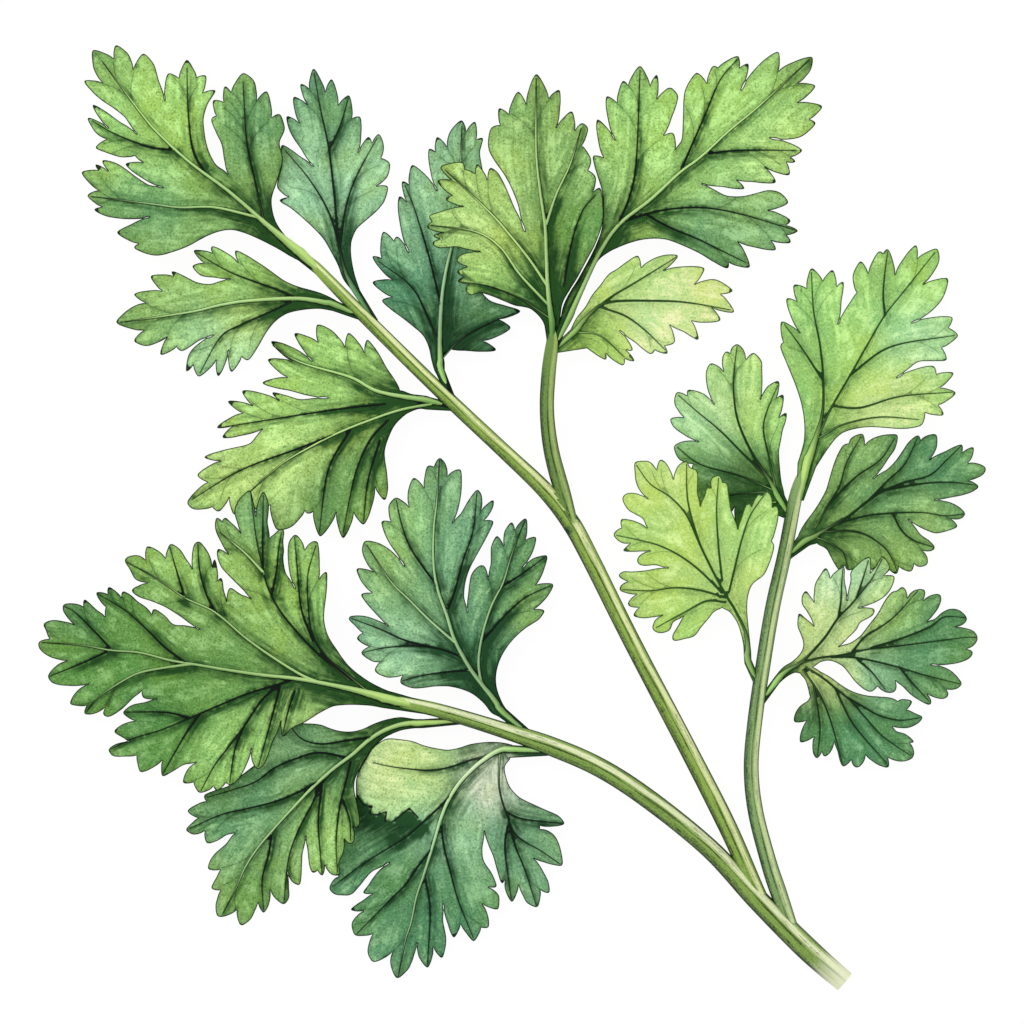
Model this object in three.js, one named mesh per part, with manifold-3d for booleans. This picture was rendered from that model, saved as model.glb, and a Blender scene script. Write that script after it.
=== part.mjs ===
// A small bunch of coriander lying flat: three leafy stalks that share one cut foot.
// Millimetres, +Z up. The origin is at the bottom centre of the box round the whole bunch.
// Leaf and stalk places are read off a layout sheet, measured from its lower left corner.
import * as THREE from 'three';
import { mergeVertices } from 'three/addons/utils/BufferGeometryUtils.js';
import Module from 'manifold-3d';

const wasm = await Module();
wasm.setup();

// Driving dimensions.
const BLADE = 0.7; // thickness of every leaf blade
const GAP = 0.3; // clear space kept between neighbouring pieces
const PLEAT = 0.8; // how far the blade swells up between two ribs
const PLEAT_REACH = 1.8; // distance from a rib over which the swelling grows
const RIB_STEP = 3.2; // spacing of the mesh points along a rib
const LONG_EDGE = 2.4; // a margin edge longer than this gets a rounded middle
const TOOTH_SWELL = 0.28; // how far a tooth's side turns outward at its ends, in radians
const CORNER_TURN = 0.7; // a margin point that turns more than this is a tip or a notch
const SLIVER = 0.12; // twice the least area that a split triangle may leave
const FLAT = 0.02; // twice the least area of a triangle made by a flip
const MOST_PASSES = 60; // rounds of edge flips
const STALK_SIDES = 12;
const STALK_STEP = 4.5; // spacing of the rings along a stalk

// Distance from point p to the stretch from a to b.
function segmentDistance(p, a, b) {
  const along = new THREE.Vector2().subVectors(b, a);
  const share = THREE.MathUtils.clamp(
    new THREE.Vector2().subVectors(p, a).dot(along) / along.lengthSq(), 0, 1);
  return p.distanceTo(a.clone().addScaledVector(along, share));
}

function lineDistance(p, line) {
  let nearest = Infinity;
  for (let i = 1; i < line.length; i++) {
    nearest = Math.min(nearest, segmentDistance(p, line[i - 1], line[i]));
  }
  return nearest;
}

const toVectors = (list) => list.map(([x, y]) => new THREE.Vector2(x, y));

// The margin, counter-clockwise, with a middle point on each long edge. A tooth's sides swell
// outward between its tip and its notches; a smooth stretch keeps its own curve.
function roundedMargin(list) {
  const corners = toVectors(list);
  if (THREE.ShapeUtils.area(corners) < 0) corners.reverse();
  const count = corners.length;
  const sides = corners.map((a, i) => new THREE.Vector2().subVectors(corners[(i + 1) % count], a));
  const heading = (i, side, swell) => {
    const [before, after] = [sides[(i + count - 1) % count], sides[i % count]];
    const turn = Math.atan2(before.cross(after), before.dot(after));
    if (Math.abs(turn) < CORNER_TURN) return before.clone().add(after).normalize();
    return side.clone().normalize().rotateAround(new THREE.Vector2(), swell);
  };
  return corners.flatMap((a, i) => {
    const side = sides[i];
    if (side.length() <= LONG_EDGE) return [a];
    const bend = heading(i, side, -TOOTH_SWELL).sub(heading(i + 1, side, TOOTH_SWELL));
    return [a, a.clone().addScaledVector(side, 0.5).addScaledVector(bend, side.length() / 8)];
  });
}

// Points spaced evenly along every rib.
function ribPoints(ribs) {
  return ribs.flatMap((rib) => {
    const curve = new THREE.SplineCurve(rib);
    return curve.getSpacedPoints(Math.max(2, Math.round(curve.getLength() / RIB_STEP)));
  });
}

const cross = (a, b, c) => (b.x - a.x) * (c.y - a.y) - (b.y - a.y) * (c.x - a.x);

// Puts a point into the triangle round it, unless a sliver would come of that.
function insertPoint(points, faces, p) {
  const index = points.push(p) - 1;
  for (let f = 0; f < faces.length; f++) {
    const [a, b, c] = faces[f];
    const parts = [[a, b, index], [b, c, index], [c, a, index]];
    const areas = parts.map(([i, j, k]) => cross(points[i], points[j], points[k]));
    if (Math.min(...areas) > SLIVER) {
      faces.splice(f, 1, ...parts);
      return;
    }
  }
  points.pop();
}

// True where the edge a-b of the quad a, c, b, d is better drawn from c to d.
function shouldFlip(points, a, b, c, d) {
  const [pa, pb, pc, pd] = [a, b, c, d].map((i) => points[i]);
  if (cross(pc, pd, pb) < FLAT || cross(pd, pc, pa) < FLAT) return false;
  const angle = (at, p, q) => Math.atan2(Math.abs(cross(at, p, q)),
    new THREE.Vector2().subVectors(p, at).dot(new THREE.Vector2().subVectors(q, at)));
  return angle(pc, pa, pb) + angle(pd, pa, pb) > Math.PI + 0.001;
}

// Flips inner edges until the triangles are as round as they get.
function roundTriangles(points, faces) {
  for (let pass = 0, changed = true; changed && pass < MOST_PASSES; pass++) {
    changed = false;
    const owners = new Map();
    faces.forEach((face, f) => face.forEach((a, i) => owners.set(`${a},${face[(i + 1) % 3]}`, f)));
    const touched = new Set();
    for (const [key, f] of owners) {
      const [a, b] = key.split(',').map(Number);
      const g = owners.get(`${b},${a}`);
      if (g === undefined || touched.has(f) || touched.has(g)) continue;
      const c = faces[f].find((i) => i !== a && i !== b);
      const d = faces[g].find((i) => i !== a && i !== b);
      if (!shouldFlip(points, a, b, c, d)) continue;
      faces[f] = [c, d, b];
      faces[g] = [d, c, a];
      touched.add(f).add(g);
      changed = true;
    }
  }
}

// Triangles over the inside of a margin that also use the inner points.
function triangulate(rim, inner) {
  const points = [...rim];
  const faces = THREE.ShapeUtils.triangulateShape(rim, []).map(([a, b, c]) => (
    cross(points[a], points[b], points[c]) > 0 ? [a, b, c] : [a, c, b]));
  roundTriangles(points, faces);
  inner.forEach((p) => insertPoint(points, faces, p));
  roundTriangles(points, faces);
  return { points, faces };
}

// One entry a leaf. margin and ribs are sheet places; heights are the blade's middle height at its
// foot, its crown and its tip; a lift is a place, a reach and a height that raises or lowers the blade.
const LEAVES = {
  middle_tip_leaf: {
    colour: '#5f9440', heights: [3.0, 5.5, 0.35], lifts: [],
    margin: [[48.8, 121.8], [44.8, 123.8], [41.3, 125.6], [37.1, 127.0], [33.6, 126.2], [30.4, 124.5],
      [27.5, 123.4], [24.8, 122.9], [21.4, 124.2], [22.2, 124.8], [18.7, 126.6], [20.8, 127.8],
      [24.0, 129.1], [17.9, 129.0], [15.0, 130.3], [16.3, 130.7], [13.9, 132.6], [15.7, 133.4],
      [13.0, 136.3], [15.7, 136.6], [15.2, 137.6], [17.3, 136.5], [16.3, 138.2], [18.9, 137.6],
      [21.6, 135.7], [24.0, 134.2], [26.1, 133.8], [20.0, 137.6], [22.9, 137.8], [21.6, 138.9],
      [19.2, 138.7], [17.0, 139.4], [15.2, 140.2], [17.0, 141.6], [15.5, 142.4], [13.9, 145.1],
      [17.3, 143.4], [14.7, 147.2], [19.0, 144.5], [21.9, 142.4], [20.0, 145.0], [17.9, 146.7],
      [16.0, 148.0], [13.3, 151.0], [16.3, 150.7], [15.0, 152.6], [14.7, 156.0], [18.1, 154.6],
      [18.4, 156.8], [20.3, 155.5], [21.3, 152.8], [22.9, 155.4], [24.5, 153.8], [25.4, 151.0],
      [26.4, 147.8], [26.9, 152.2], [28.6, 151.4], [29.9, 154.4], [31.0, 152.8], [31.5, 151.5],
      [33.0, 151.8], [32.5, 149.0], [34.6, 149.4], [33.3, 147.2], [32.6, 144.6], [32.8, 142.4],
      [33.4, 139.8], [34.7, 137.4], [36.5, 136.0], [35.5, 140.6], [33.8, 144.8], [34.6, 145.3],
      [34.1, 147.8], [35.8, 147.5], [36.0, 150.1], [37.0, 149.1], [38.9, 152.2], [40.6, 151.0],
      [41.1, 147.7], [42.7, 149.3], [43.5, 145.0], [44.8, 145.6], [45.6, 143.0], [44.8, 141.0],
      [45.3, 138.2], [44.2, 134.2], [43.5, 131.8], [44.2, 128.3], [46.4, 125.4], [49.6, 122.7]],
    ribs: [[[49.2, 122.4], [43.2, 127.4], [36.8, 133.0], [30.4, 137.8], [25.6, 142.2], [22.4, 145.9],
      [16.2, 154.2]], [[32.8, 136.3], [30.9, 139.8], [30.1, 146.2], [29.9, 153.0]],
    [[42.4, 128.0], [40.8, 135.0], [39.5, 141.4], [38.9, 150.7]],
    [[41.3, 129.0], [34.4, 130.6], [28.8, 130.6], [24.0, 131.2], [14.6, 132.4]],
    [[28.0, 139.8], [24.0, 140.3], [18.4, 142.4], [14.7, 144.6]]],
  },
  middle_upper_leaf: {
    colour: '#4f8d57', heights: [3.0, 2.0, 0.35], lifts: [],
    margin: [[56.3, 117.3], [54.9, 119.2], [54.1, 121.3], [52.8, 123.8], [51.5, 125.9], [48.8, 128.6],
      [46.4, 130.6], [44.6, 131.8], [46.1, 132.3], [44.3, 133.9], [45.0, 137.4], [45.0, 140.8],
      [48.0, 138.9], [50.1, 137.3], [48.0, 140.2], [46.4, 142.7], [45.8, 145.4], [47.8, 144.3],
      [46.9, 148.5], [49.1, 147.2], [48.0, 150.6], [49.4, 149.8], [50.1, 153.1], [51.2, 151.4],
      [52.0, 149.3], [53.0, 151.4], [54.1, 147.2], [55.8, 148.8], [56.3, 145.0], [57.6, 145.3],
      [57.8, 142.4], [57.3, 139.5], [59.0, 142.1], [59.5, 141.1], [60.6, 142.6], [61.4, 140.6],
      [61.0, 138.6], [62.4, 137.8], [62.1, 135.8], [60.3, 134.1], [62.1, 134.1], [61.6, 131.8],
      [60.0, 129.8], [57.1, 127.2], [56.3, 125.4], [56.2, 123.0], [56.8, 119.8], [57.6, 117.4],
      [58.1, 115.5]],
    ribs: [[[57.3, 116.4], [55.2, 120.6], [54.1, 126.2], [53.4, 133.4], [52.5, 140.6], [51.2, 146.6],
      [50.2, 152.3]], [[54.6, 123.0], [52.8, 129.4], [49.6, 135.0], [45.6, 139.8]],
    [[54.4, 124.6], [55.4, 131.0], [57.1, 135.8], [60.3, 141.8]],
    [[52.6, 139.8], [54.4, 143.8], [55.7, 148.2]]],
  },
  middle_outer_leaf: {
    colour: '#7ba648', heights: [3.2, 4.2, 0.35], lifts: [],
    margin: [[54.1, 115.5], [51.2, 117.0], [48.0, 117.9], [45.6, 118.9], [43.2, 120.6], [40.8, 122.2],
      [37.6, 123.8], [38.1, 121.9], [33.8, 124.5], [33.9, 123.4], [30.9, 123.8], [32.6, 121.8],
      [30.7, 121.3], [32.0, 119.8], [34.4, 119.4], [36.8, 119.2], [33.6, 118.4], [31.5, 118.7],
      [27.4, 120.5], [27.7, 119.7], [24.0, 119.7], [25.9, 117.3], [21.3, 116.8], [23.2, 115.4],
      [20.8, 114.6], [18.4, 112.3], [22.9, 111.0], [21.3, 109.3], [23.2, 108.5], [26.7, 109.9],
      [25.6, 107.0], [28.2, 108.3], [29.0, 107.6], [32.0, 109.4], [34.1, 110.2], [30.4, 107.5],
      [29.8, 104.3], [30.9, 105.4], [31.7, 103.5], [34.6, 106.2], [34.9, 103.5], [36.6, 107.8],
      [37.0, 104.2], [38.7, 106.7], [39.7, 106.1], [42.4, 110.2], [44.0, 112.3], [46.4, 113.8],
      [51.2, 114.4], [55.2, 113.9]],
    ribs: [[[54.4, 114.9], [48.0, 116.0], [40.0, 115.7], [35.2, 115.0], [30.4, 113.9], [19.2, 112.3]],
      [[48.0, 116.0], [43.2, 117.9], [36.8, 120.3], [31.4, 123.4]],
      [[47.2, 115.8], [43.2, 113.9], [38.4, 111.8], [35.2, 109.8], [32.0, 104.2]]],
  },
  middle_lower_leaf: {
    colour: '#5d9038', heights: [3.5, 2.5, 0.35], lifts: [],
    margin: [[68.8, 100.3], [65.9, 100.8], [64.0, 101.4], [61.9, 105.0], [60.8, 107.0], [58.7, 109.6],
      [58.3, 107.5], [55.7, 110.7], [55.2, 108.4], [52.8, 111.2], [50.7, 112.0], [50.8, 109.2],
      [47.0, 110.6], [48.5, 107.8], [49.9, 106.1], [46.4, 108.5], [43.2, 109.3], [46.7, 106.1],
      [42.7, 106.4], [45.9, 103.5], [41.8, 102.6], [46.4, 101.3], [52.5, 100.2], [48.0, 100.0],
      [43.4, 101.1], [44.6, 99.8], [38.6, 101.4], [40.3, 99.0], [36.3, 99.7], [38.7, 97.8],
      [34.5, 95.4], [37.3, 95.8], [35.4, 93.8], [38.4, 94.1], [41.9, 95.2], [40.0, 93.0],
      [37.6, 92.3], [32.5, 90.7], [35.2, 90.1], [31.4, 87.8], [33.1, 86.7], [29.8, 83.4],
      [30.7, 82.4], [33.9, 82.7], [34.9, 81.9], [36.6, 84.2], [37.4, 81.4], [39.7, 83.8],
      [41.0, 82.2], [43.2, 83.0], [44.3, 79.0], [46.4, 79.4], [48.8, 82.1], [49.1, 81.6],
      [50.1, 81.9], [51.2, 77.9], [53.8, 81.8], [54.9, 77.6], [56.6, 81.8], [58.2, 79.8],
      [60.0, 85.9], [61.6, 83.7], [62.1, 85.4], [61.9, 88.6], [61.6, 91.8], [63.2, 95.8],
      [64.8, 97.4], [67.2, 98.4], [69.8, 98.1], [70.1, 98.9]],
    ribs: [[[69.4, 99.6], [60.8, 101.1], [56.0, 103.5], [48.0, 105.9], [43.5, 108.6]],
      [[69.1, 99.2], [64.0, 98.2], [59.2, 96.6], [54.4, 94.7], [49.6, 92.3], [44.8, 89.4],
        [38.4, 83.8]],
      [[54.4, 94.7], [48.0, 92.2], [38.4, 88.6], [30.6, 83.9]],
      [[61.6, 99.2], [52.8, 98.2], [35.4, 95.5]],
      [[62.1, 96.6], [59.2, 93.4], [56.8, 87.8], [54.9, 78.6]],
      [[60.8, 93.4], [58.9, 87.0], [58.2, 80.6]],
      [[56.0, 95.0], [52.5, 88.6], [51.1, 78.7]]],
  },
  middle_inner_leaf: {
    colour: '#4a8358', heights: [3.5, 1.8, 0.35], lifts: [[82, 113, 7, -1.5]],
    margin: [[69.8, 104.0], [69.1, 105.9], [68.6, 108.2], [67.7, 110.1], [64.3, 113.0], [61.0, 115.8],
      [62.7, 116.3], [59.5, 118.7], [62.7, 119.1], [59.5, 122.9], [61.0, 122.6], [61.3, 126.9],
      [63.0, 125.4], [63.5, 126.1], [65.4, 123.5], [63.8, 132.6], [65.0, 131.7], [64.3, 135.0],
      [65.4, 134.4], [65.9, 137.6], [67.7, 136.3], [69.9, 133.4], [68.6, 140.2], [69.6, 139.7],
      [69.9, 142.1], [71.5, 140.5], [72.0, 142.9], [73.9, 144.8], [74.6, 143.0], [76.0, 144.6],
      [76.2, 141.6], [77.3, 141.9], [76.8, 139.5], [77.4, 135.8], [77.8, 130.2], [77.1, 124.6],
      [75.2, 119.0], [78.4, 115.8], [83.4, 114.1], [79.7, 112.8], [81.8, 111.4], [77.3, 109.3],
      [79.5, 107.8], [74.4, 107.7], [72.0, 108.0], [71.0, 106.6], [71.2, 104.3], [71.5, 102.6]],
    ribs: [[[70.6, 103.7], [70.4, 109.4], [70.7, 115.8], [71.4, 120.6], [72.8, 127.0], [73.6, 135.0],
      [73.9, 143.8]], [[70.6, 107.8], [68.0, 114.2], [65.6, 118.2], [60.6, 122.0]],
    [[70.7, 114.2], [68.8, 122.2], [66.4, 130.2], [64.8, 134.2]],
    [[70.6, 106.2], [73.6, 109.4], [77.6, 111.8], [82.4, 113.8]]],
  },
  branch_tip_leaf: {
    colour: '#5c9746', heights: [3.5, 8.0, 1.0], lifts: [],
    margin: [[87.8, 110.4], [86.7, 112.6], [84.8, 114.4], [82.4, 114.9], [79.2, 116.2], [76.8, 116.9],
      [75.2, 116.5], [74.4, 117.5], [75.0, 118.3], [73.1, 118.8], [74.2, 119.5], [73.0, 120.3],
      [74.7, 121.1], [73.0, 122.0], [73.6, 122.9], [76.8, 123.5], [73.1, 124.2], [69.9, 124.1],
      [69.1, 124.9], [70.3, 125.5], [69.2, 126.1], [71.0, 126.5], [68.2, 127.4], [69.1, 128.3],
      [68.6, 129.2], [70.4, 129.9], [74.1, 130.7], [71.2, 131.9], [72.3, 132.5], [69.9, 134.9],
      [72.2, 135.0], [70.4, 137.1], [74.1, 137.8], [74.4, 136.7], [76.0, 136.0], [76.3, 137.6],
      [78.0, 135.0], [78.4, 137.0], [79.6, 136.2], [80.9, 133.9], [82.3, 130.6], [84.0, 126.7],
      [82.9, 130.8], [81.6, 134.1], [80.4, 136.2], [78.2, 139.8], [78.6, 143.4], [80.0, 143.8],
      [79.8, 146.6], [81.4, 145.6], [82.9, 149.3], [84.2, 147.2], [85.8, 152.2], [87.8, 148.2],
      [89.5, 149.6], [89.6, 146.2], [89.0, 143.4], [91.5, 146.1], [92.0, 143.0], [93.1, 144.2],
      [94.1, 143.4], [93.1, 140.5], [94.6, 138.1], [94.1, 136.5], [95.3, 135.5], [94.9, 133.1],
      [96.0, 133.8], [96.5, 130.8], [96.5, 128.9], [96.1, 127.0], [95.0, 124.2], [93.9, 122.2],
      [92.3, 119.2], [90.0, 115.2], [89.1, 110.4]],
    ribs: [[[88.5, 110.9], [87.7, 117.4], [87.4, 123.8], [87.2, 127.8], [86.4, 133.4], [85.8, 139.8],
      [85.8, 151.4]], [[87.4, 127.8], [89.0, 132.6], [91.2, 137.4], [93.0, 143.3]],
    [[87.5, 118.2], [84.8, 122.2], [81.6, 126.2], [78.4, 129.8], [71.2, 136.6]],
    [[87.7, 115.0], [83.2, 119.8], [80.0, 124.2], [76.0, 126.7], [69.0, 127.7]],
    [[87.8, 113.0], [83.2, 116.0], [78.4, 117.9], [73.8, 118.7]],
    [[90.2, 118.0], [91.0, 122.8], [92.0, 127.0], [93.4, 130.4], [95.3, 132.6]]],
  },
  branch_outer_leaf: {
    colour: '#6b9c42', heights: [3.6, 4.5, 0.35], lifts: [],
    margin: [[89.9, 111.4], [90.5, 115.0], [92.7, 118.7], [94.9, 122.9], [96.6, 126.7], [97.0, 128.7],
      [97.1, 130.9], [96.7, 133.4], [95.8, 135.7], [94.9, 138.9], [96.6, 138.6], [95.5, 144.8], [98.4, 141.4],
      [97.0, 148.5], [98.7, 147.4], [99.7, 151.0], [100.5, 150.2], [102.4, 153.4], [104.0, 150.2],
      [105.1, 152.0], [105.1, 148.0], [107.2, 149.9], [108.5, 148.6], [107.5, 145.0], [106.2, 142.2],
      [107.7, 142.6], [108.1, 140.0], [109.0, 141.4], [109.3, 146.2], [109.6, 149.4], [111.5, 152.3],
      [113.1, 150.6], [114.1, 153.4], [114.9, 153.1], [118.2, 155.0], [118.4, 153.1], [119.8, 153.8],
      [118.6, 149.4], [121.3, 153.4], [124.6, 155.7], [124.6, 152.6], [130.1, 154.9], [129.9, 153.0],
      [127.8, 150.6], [130.6, 150.2], [127.7, 147.5], [131.7, 146.9], [129.6, 144.8], [130.6, 144.2],
      [128.0, 141.9], [123.2, 141.8], [128.5, 139.8], [126.6, 138.7], [127.4, 137.9], [125.9, 137.9],
      [126.4, 135.8], [122.4, 137.1], [124.2, 134.6], [120.3, 134.7], [117.9, 135.0], [119.2, 133.6],
      [115.5, 133.9], [112.3, 134.4], [116.0, 132.6], [119.2, 132.5], [123.0, 133.4], [124.8, 133.0],
      [126.2, 131.4], [122.9, 130.2], [126.6, 128.5], [125.8, 127.8], [127.8, 126.9], [125.9, 126.2],
      [126.6, 125.0], [123.4, 125.3], [124.2, 123.8], [120.8, 124.2], [118.1, 125.1], [120.0, 121.0],
      [116.6, 121.8], [116.5, 120.8], [112.0, 123.2], [107.2, 125.3], [104.8, 125.6], [102.4, 125.3],
      [100.0, 124.5], [97.9, 123.5], [96.2, 122.2], [94.1, 118.4], [91.8, 114.6], [91.0, 111.7]],
    ribs: [[[90.7, 112.0], [92.8, 116.8], [96.0, 123.5], [99.2, 128.0], [104.0, 131.8], [108.8, 136.2],
      [112.0, 138.6], [116.8, 143.0], [121.6, 147.0], [129.6, 154.4]],
    [[98.7, 127.5], [100.8, 132.6], [101.8, 138.2], [102.4, 152.6]],
    [[108.8, 136.2], [110.7, 140.6], [112.8, 145.4], [115.2, 151.0], [118.0, 154.4]],
    [[112.8, 139.2], [118.4, 139.8], [127.4, 139.8]],
    [[99.5, 128.3], [105.6, 130.1], [112.0, 130.6], [118.4, 129.6], [127.2, 127.0]],
    [[103.2, 129.6], [107.2, 127.4], [112.0, 125.4], [119.3, 121.8]]],
  },
  branch_inner_leaf: {
    colour: '#86ad54', heights: [3.4, 3.5, 0.35], lifts: [],
    margin: [[91.0, 110.4], [92.3, 113.1], [93.6, 114.7], [94.7, 116.6], [96.0, 118.2], [97.4, 120.0],
      [98.7, 120.8], [102.1, 123.0], [102.6, 121.1], [105.6, 122.9], [108.6, 123.0], [106.2, 120.6],
      [112.8, 121.0], [111.2, 118.4], [114.4, 119.2], [117.4, 117.3], [115.4, 116.8], [117.6, 113.9],
      [113.9, 114.7], [115.4, 112.6], [110.7, 112.5], [111.8, 109.4], [109.4, 110.7], [107.2, 111.8],
      [108.0, 109.0], [106.4, 108.5], [106.9, 107.2], [104.8, 107.8], [104.2, 107.1], [101.6, 109.0],
      [99.2, 110.9], [101.3, 107.7], [100.2, 107.8], [101.6, 106.0], [100.0, 106.4], [99.8, 105.3],
      [97.0, 107.2], [97.0, 106.2], [94.7, 107.5], [92.8, 108.8], [91.0, 109.4]],
    ribs: [[[91.4, 110.0], [94.4, 113.6], [97.6, 115.5], [105.6, 115.7], [110.4, 115.4], [117.0, 114.3]],
      [[94.4, 113.6], [97.6, 116.2], [101.6, 118.6], [108.2, 122.7]],
      [[92.3, 110.7], [96.0, 110.1], [99.8, 106.8]],
      [[96.0, 114.7], [100.0, 113.3], [103.2, 111.0], [106.5, 107.8]]],
  },
  right_tip_leaf: {
    colour: '#7cab46', heights: [2.6, 5.0, 0.35], lifts: [],
    margin: [[127.4, 88.3], [128.0, 91.0], [128.6, 93.4], [128.6, 96.6], [128.0, 99.8], [126.9, 103.0],
      [125.6, 106.2], [124.8, 108.6], [125.3, 109.1], [125.0, 112.5], [128.0, 110.6], [125.8, 116.2],
      [127.5, 115.7], [127.0, 118.4], [129.1, 117.8], [129.9, 121.1], [131.7, 119.0], [133.3, 120.8],
      [133.9, 118.1], [135.0, 118.9], [134.7, 115.8], [134.1, 112.0], [136.0, 115.5], [137.1, 117.0],
      [136.5, 119.8], [137.8, 122.2], [139.0, 120.2], [140.8, 123.8], [141.4, 123.4], [142.1, 124.2],
      [143.3, 120.0], [146.7, 124.8], [146.9, 122.6], [150.1, 124.2], [150.4, 122.2], [147.8, 118.4],
      [151.8, 119.4], [150.4, 115.4], [145.9, 112.2], [152.5, 113.1], [151.8, 111.4], [153.4, 110.2],
      [150.7, 108.2], [151.5, 106.2], [146.9, 105.9], [143.4, 103.4], [149.4, 105.3], [149.8, 104.0],
      [152.6, 104.2], [150.4, 101.8], [153.0, 101.0], [150.1, 99.0], [151.0, 97.4], [148.0, 97.8],
      [147.5, 95.8], [144.0, 95.2], [139.2, 95.5], [134.9, 94.6], [132.8, 92.5], [131.4, 90.4],
      [129.6, 88.0]],
    ribs: [[[128.8, 88.8], [129.9, 91.8], [131.5, 97.4], [131.7, 103.0], [131.2, 108.6], [130.2, 114.2],
      [129.9, 120.3]], [[129.9, 91.8], [132.8, 98.2], [136.0, 103.8], [139.2, 109.4], [141.6, 113.4],
      [144.8, 117.4], [149.7, 123.5]], [[141.6, 113.4], [141.4, 117.4], [142.1, 123.6]],
    [[136.0, 103.8], [142.4, 108.3], [152.8, 110.2]],
    [[133.1, 98.9], [137.6, 98.6], [144.0, 100.4], [152.4, 101.1]],
    [[131.0, 93.8], [134.9, 95.9], [140.8, 97.1], [147.0, 96.7]],
    [[131.6, 103.0], [128.5, 107.8], [125.5, 112.0]]],
  },
  right_inner_leaf: {
    colour: '#568f57', heights: [2.0, 1.4, 0.35], lifts: [[114, 86, 8, -1.2]],
    margin: [[125.6, 84.3], [125.1, 86.7], [124.8, 89.4], [124.7, 91.8], [125.0, 93.4], [125.3, 95.0],
      [125.8, 96.6], [125.9, 97.9], [124.7, 97.1], [125.4, 100.8], [124.3, 100.2], [124.7, 103.0],
      [123.0, 102.2], [121.7, 100.0], [122.0, 104.6], [121.9, 106.1], [120.6, 107.5], [119.4, 106.4],
      [119.0, 108.0], [118.0, 108.9], [117.1, 108.2], [116.9, 107.4], [116.2, 107.7], [115.6, 106.6],
      [115.8, 104.5], [115.0, 105.3], [113.7, 105.8], [113.0, 104.4], [113.1, 102.2], [114.3, 99.2],
      [112.6, 100.9], [111.2, 101.4], [110.0, 101.5], [110.0, 100.6], [108.3, 101.2], [107.9, 99.5],
      [109.4, 97.1], [107.2, 96.9], [107.8, 95.5], [109.4, 94.3], [111.8, 93.2], [109.5, 93.3],
      [107.8, 92.5], [108.6, 90.4], [110.9, 89.6], [110.7, 87.0], [112.0, 82.7], [113.9, 85.1],
      [117.0, 81.8], [117.6, 82.8], [118.1, 79.0], [119.7, 82.6], [121.1, 80.6], [122.4, 82.2],
      [124.2, 81.4], [125.1, 81.9]],
    ribs: [[[125.0, 83.4], [123.2, 87.0], [120.3, 91.5], [118.1, 96.6], [117.4, 101.4], [117.6, 105.4],
      [118.0, 108.5]], [[123.2, 87.0], [119.2, 91.0], [115.2, 95.0], [111.7, 97.9], [108.6, 100.6]],
    [[124.2, 85.4], [123.0, 91.0], [122.2, 95.0], [122.7, 97.9], [124.5, 102.2]],
    [[123.8, 85.4], [118.4, 87.7], [112.0, 89.6], [108.4, 92.3]],
    [[124.2, 83.5], [120.8, 83.0], [118.3, 79.8]], [[122.4, 85.1], [116.8, 84.6], [112.2, 83.2]]],
  },
  right_lower_leaf: {
    colour: '#8bb350', heights: [3.0, 6.0, 4.6], lifts: [[101, 68, 9, -4.4]],
    margin: [[119.3, 57.0], [118.9, 60.6], [118.0, 64.0], [116.6, 66.0], [115.5, 66.6], [114.3, 66.0],
      [113.3, 64.8], [112.2, 63.5], [111.1, 62.1], [109.5, 61.6], [107.7, 61.3], [107.5, 61.9],
      [108.5, 63.8], [109.4, 65.2], [107.8, 64.3], [107.2, 63.0], [105.6, 62.5], [104.5, 63.0],
      [104.4, 63.6], [104.9, 64.7], [106.0, 65.4], [104.1, 65.0], [102.8, 64.9], [101.3, 65.3],
      [102.2, 66.6], [100.5, 66.9], [100.6, 67.6], [101.8, 68.7], [99.1, 69.4], [99.4, 70.2],
      [100.4, 70.8], [98.9, 71.7], [99.6, 72.4], [101.1, 72.4], [103.4, 72.6], [106.9, 73.0],
      [104.8, 73.4], [103.1, 73.3], [102.1, 73.6], [101.9, 74.3], [102.6, 75.2], [104.0, 75.7],
      [102.4, 75.6], [99.6, 75.7], [100.2, 76.4], [100.8, 76.9], [99.4, 77.0], [98.1, 78.2],
      [98.5, 78.9], [99.4, 79.4], [99.3, 80.8], [100.2, 80.8], [101.8, 80.4], [103.5, 79.4],
      [102.8, 80.8], [100.4, 82.3], [99.5, 84.1], [100.0, 84.8], [101.2, 85.0], [103.6, 84.1],
      [102.4, 85.2], [101.7, 86.7], [101.5, 88.4], [101.5, 89.9], [103.9, 90.0], [105.0, 88.7],
      [105.6, 90.4], [106.5, 89.8], [107.7, 87.2], [108.0, 88.5], [108.5, 89.4], [109.8, 90.2],
      [110.4, 89.1], [111.5, 88.6], [111.6, 85.0], [112.0, 82.9], [112.8, 85.0], [112.9, 86.6],
      [113.7, 85.8], [113.7, 87.3], [115.0, 87.9], [115.6, 86.7], [116.3, 86.6], [116.5, 85.3],
      [117.0, 82.1], [118.0, 79.2], [118.5, 80.9], [119.2, 82.9], [119.7, 83.6], [120.2, 82.8],
      [120.7, 84.0], [121.5, 85.0], [121.9, 84.6], [122.7, 85.4], [123.4, 84.3], [123.5, 82.7],
      [124.2, 83.0], [124.5, 82.2], [124.4, 80.6], [124.0, 78.9], [123.4, 77.3], [123.8, 76.6],
      [123.5, 75.0], [122.9, 73.3], [122.1, 71.8], [120.4, 70.4], [119.7, 68.7], [119.5, 66.7],
      [119.8, 63.0], [120.2, 59.0], [120.1, 57.0]],
    ribs: [[[119.7, 57.3], [119.4, 62.2], [117.6, 66.2], [116.3, 68.3], [114.1, 72.3], [112.0, 76.6],
      [109.8, 81.4], [107.2, 84.3], [104.0, 86.4], [101.8, 89.4]],
    [[112.0, 76.6], [110.7, 80.6], [109.9, 84.6], [109.8, 89.6]],
    [[115.5, 69.0], [112.0, 72.5], [108.8, 74.9], [105.6, 76.5], [102.4, 77.4], [98.6, 78.2]],
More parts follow.
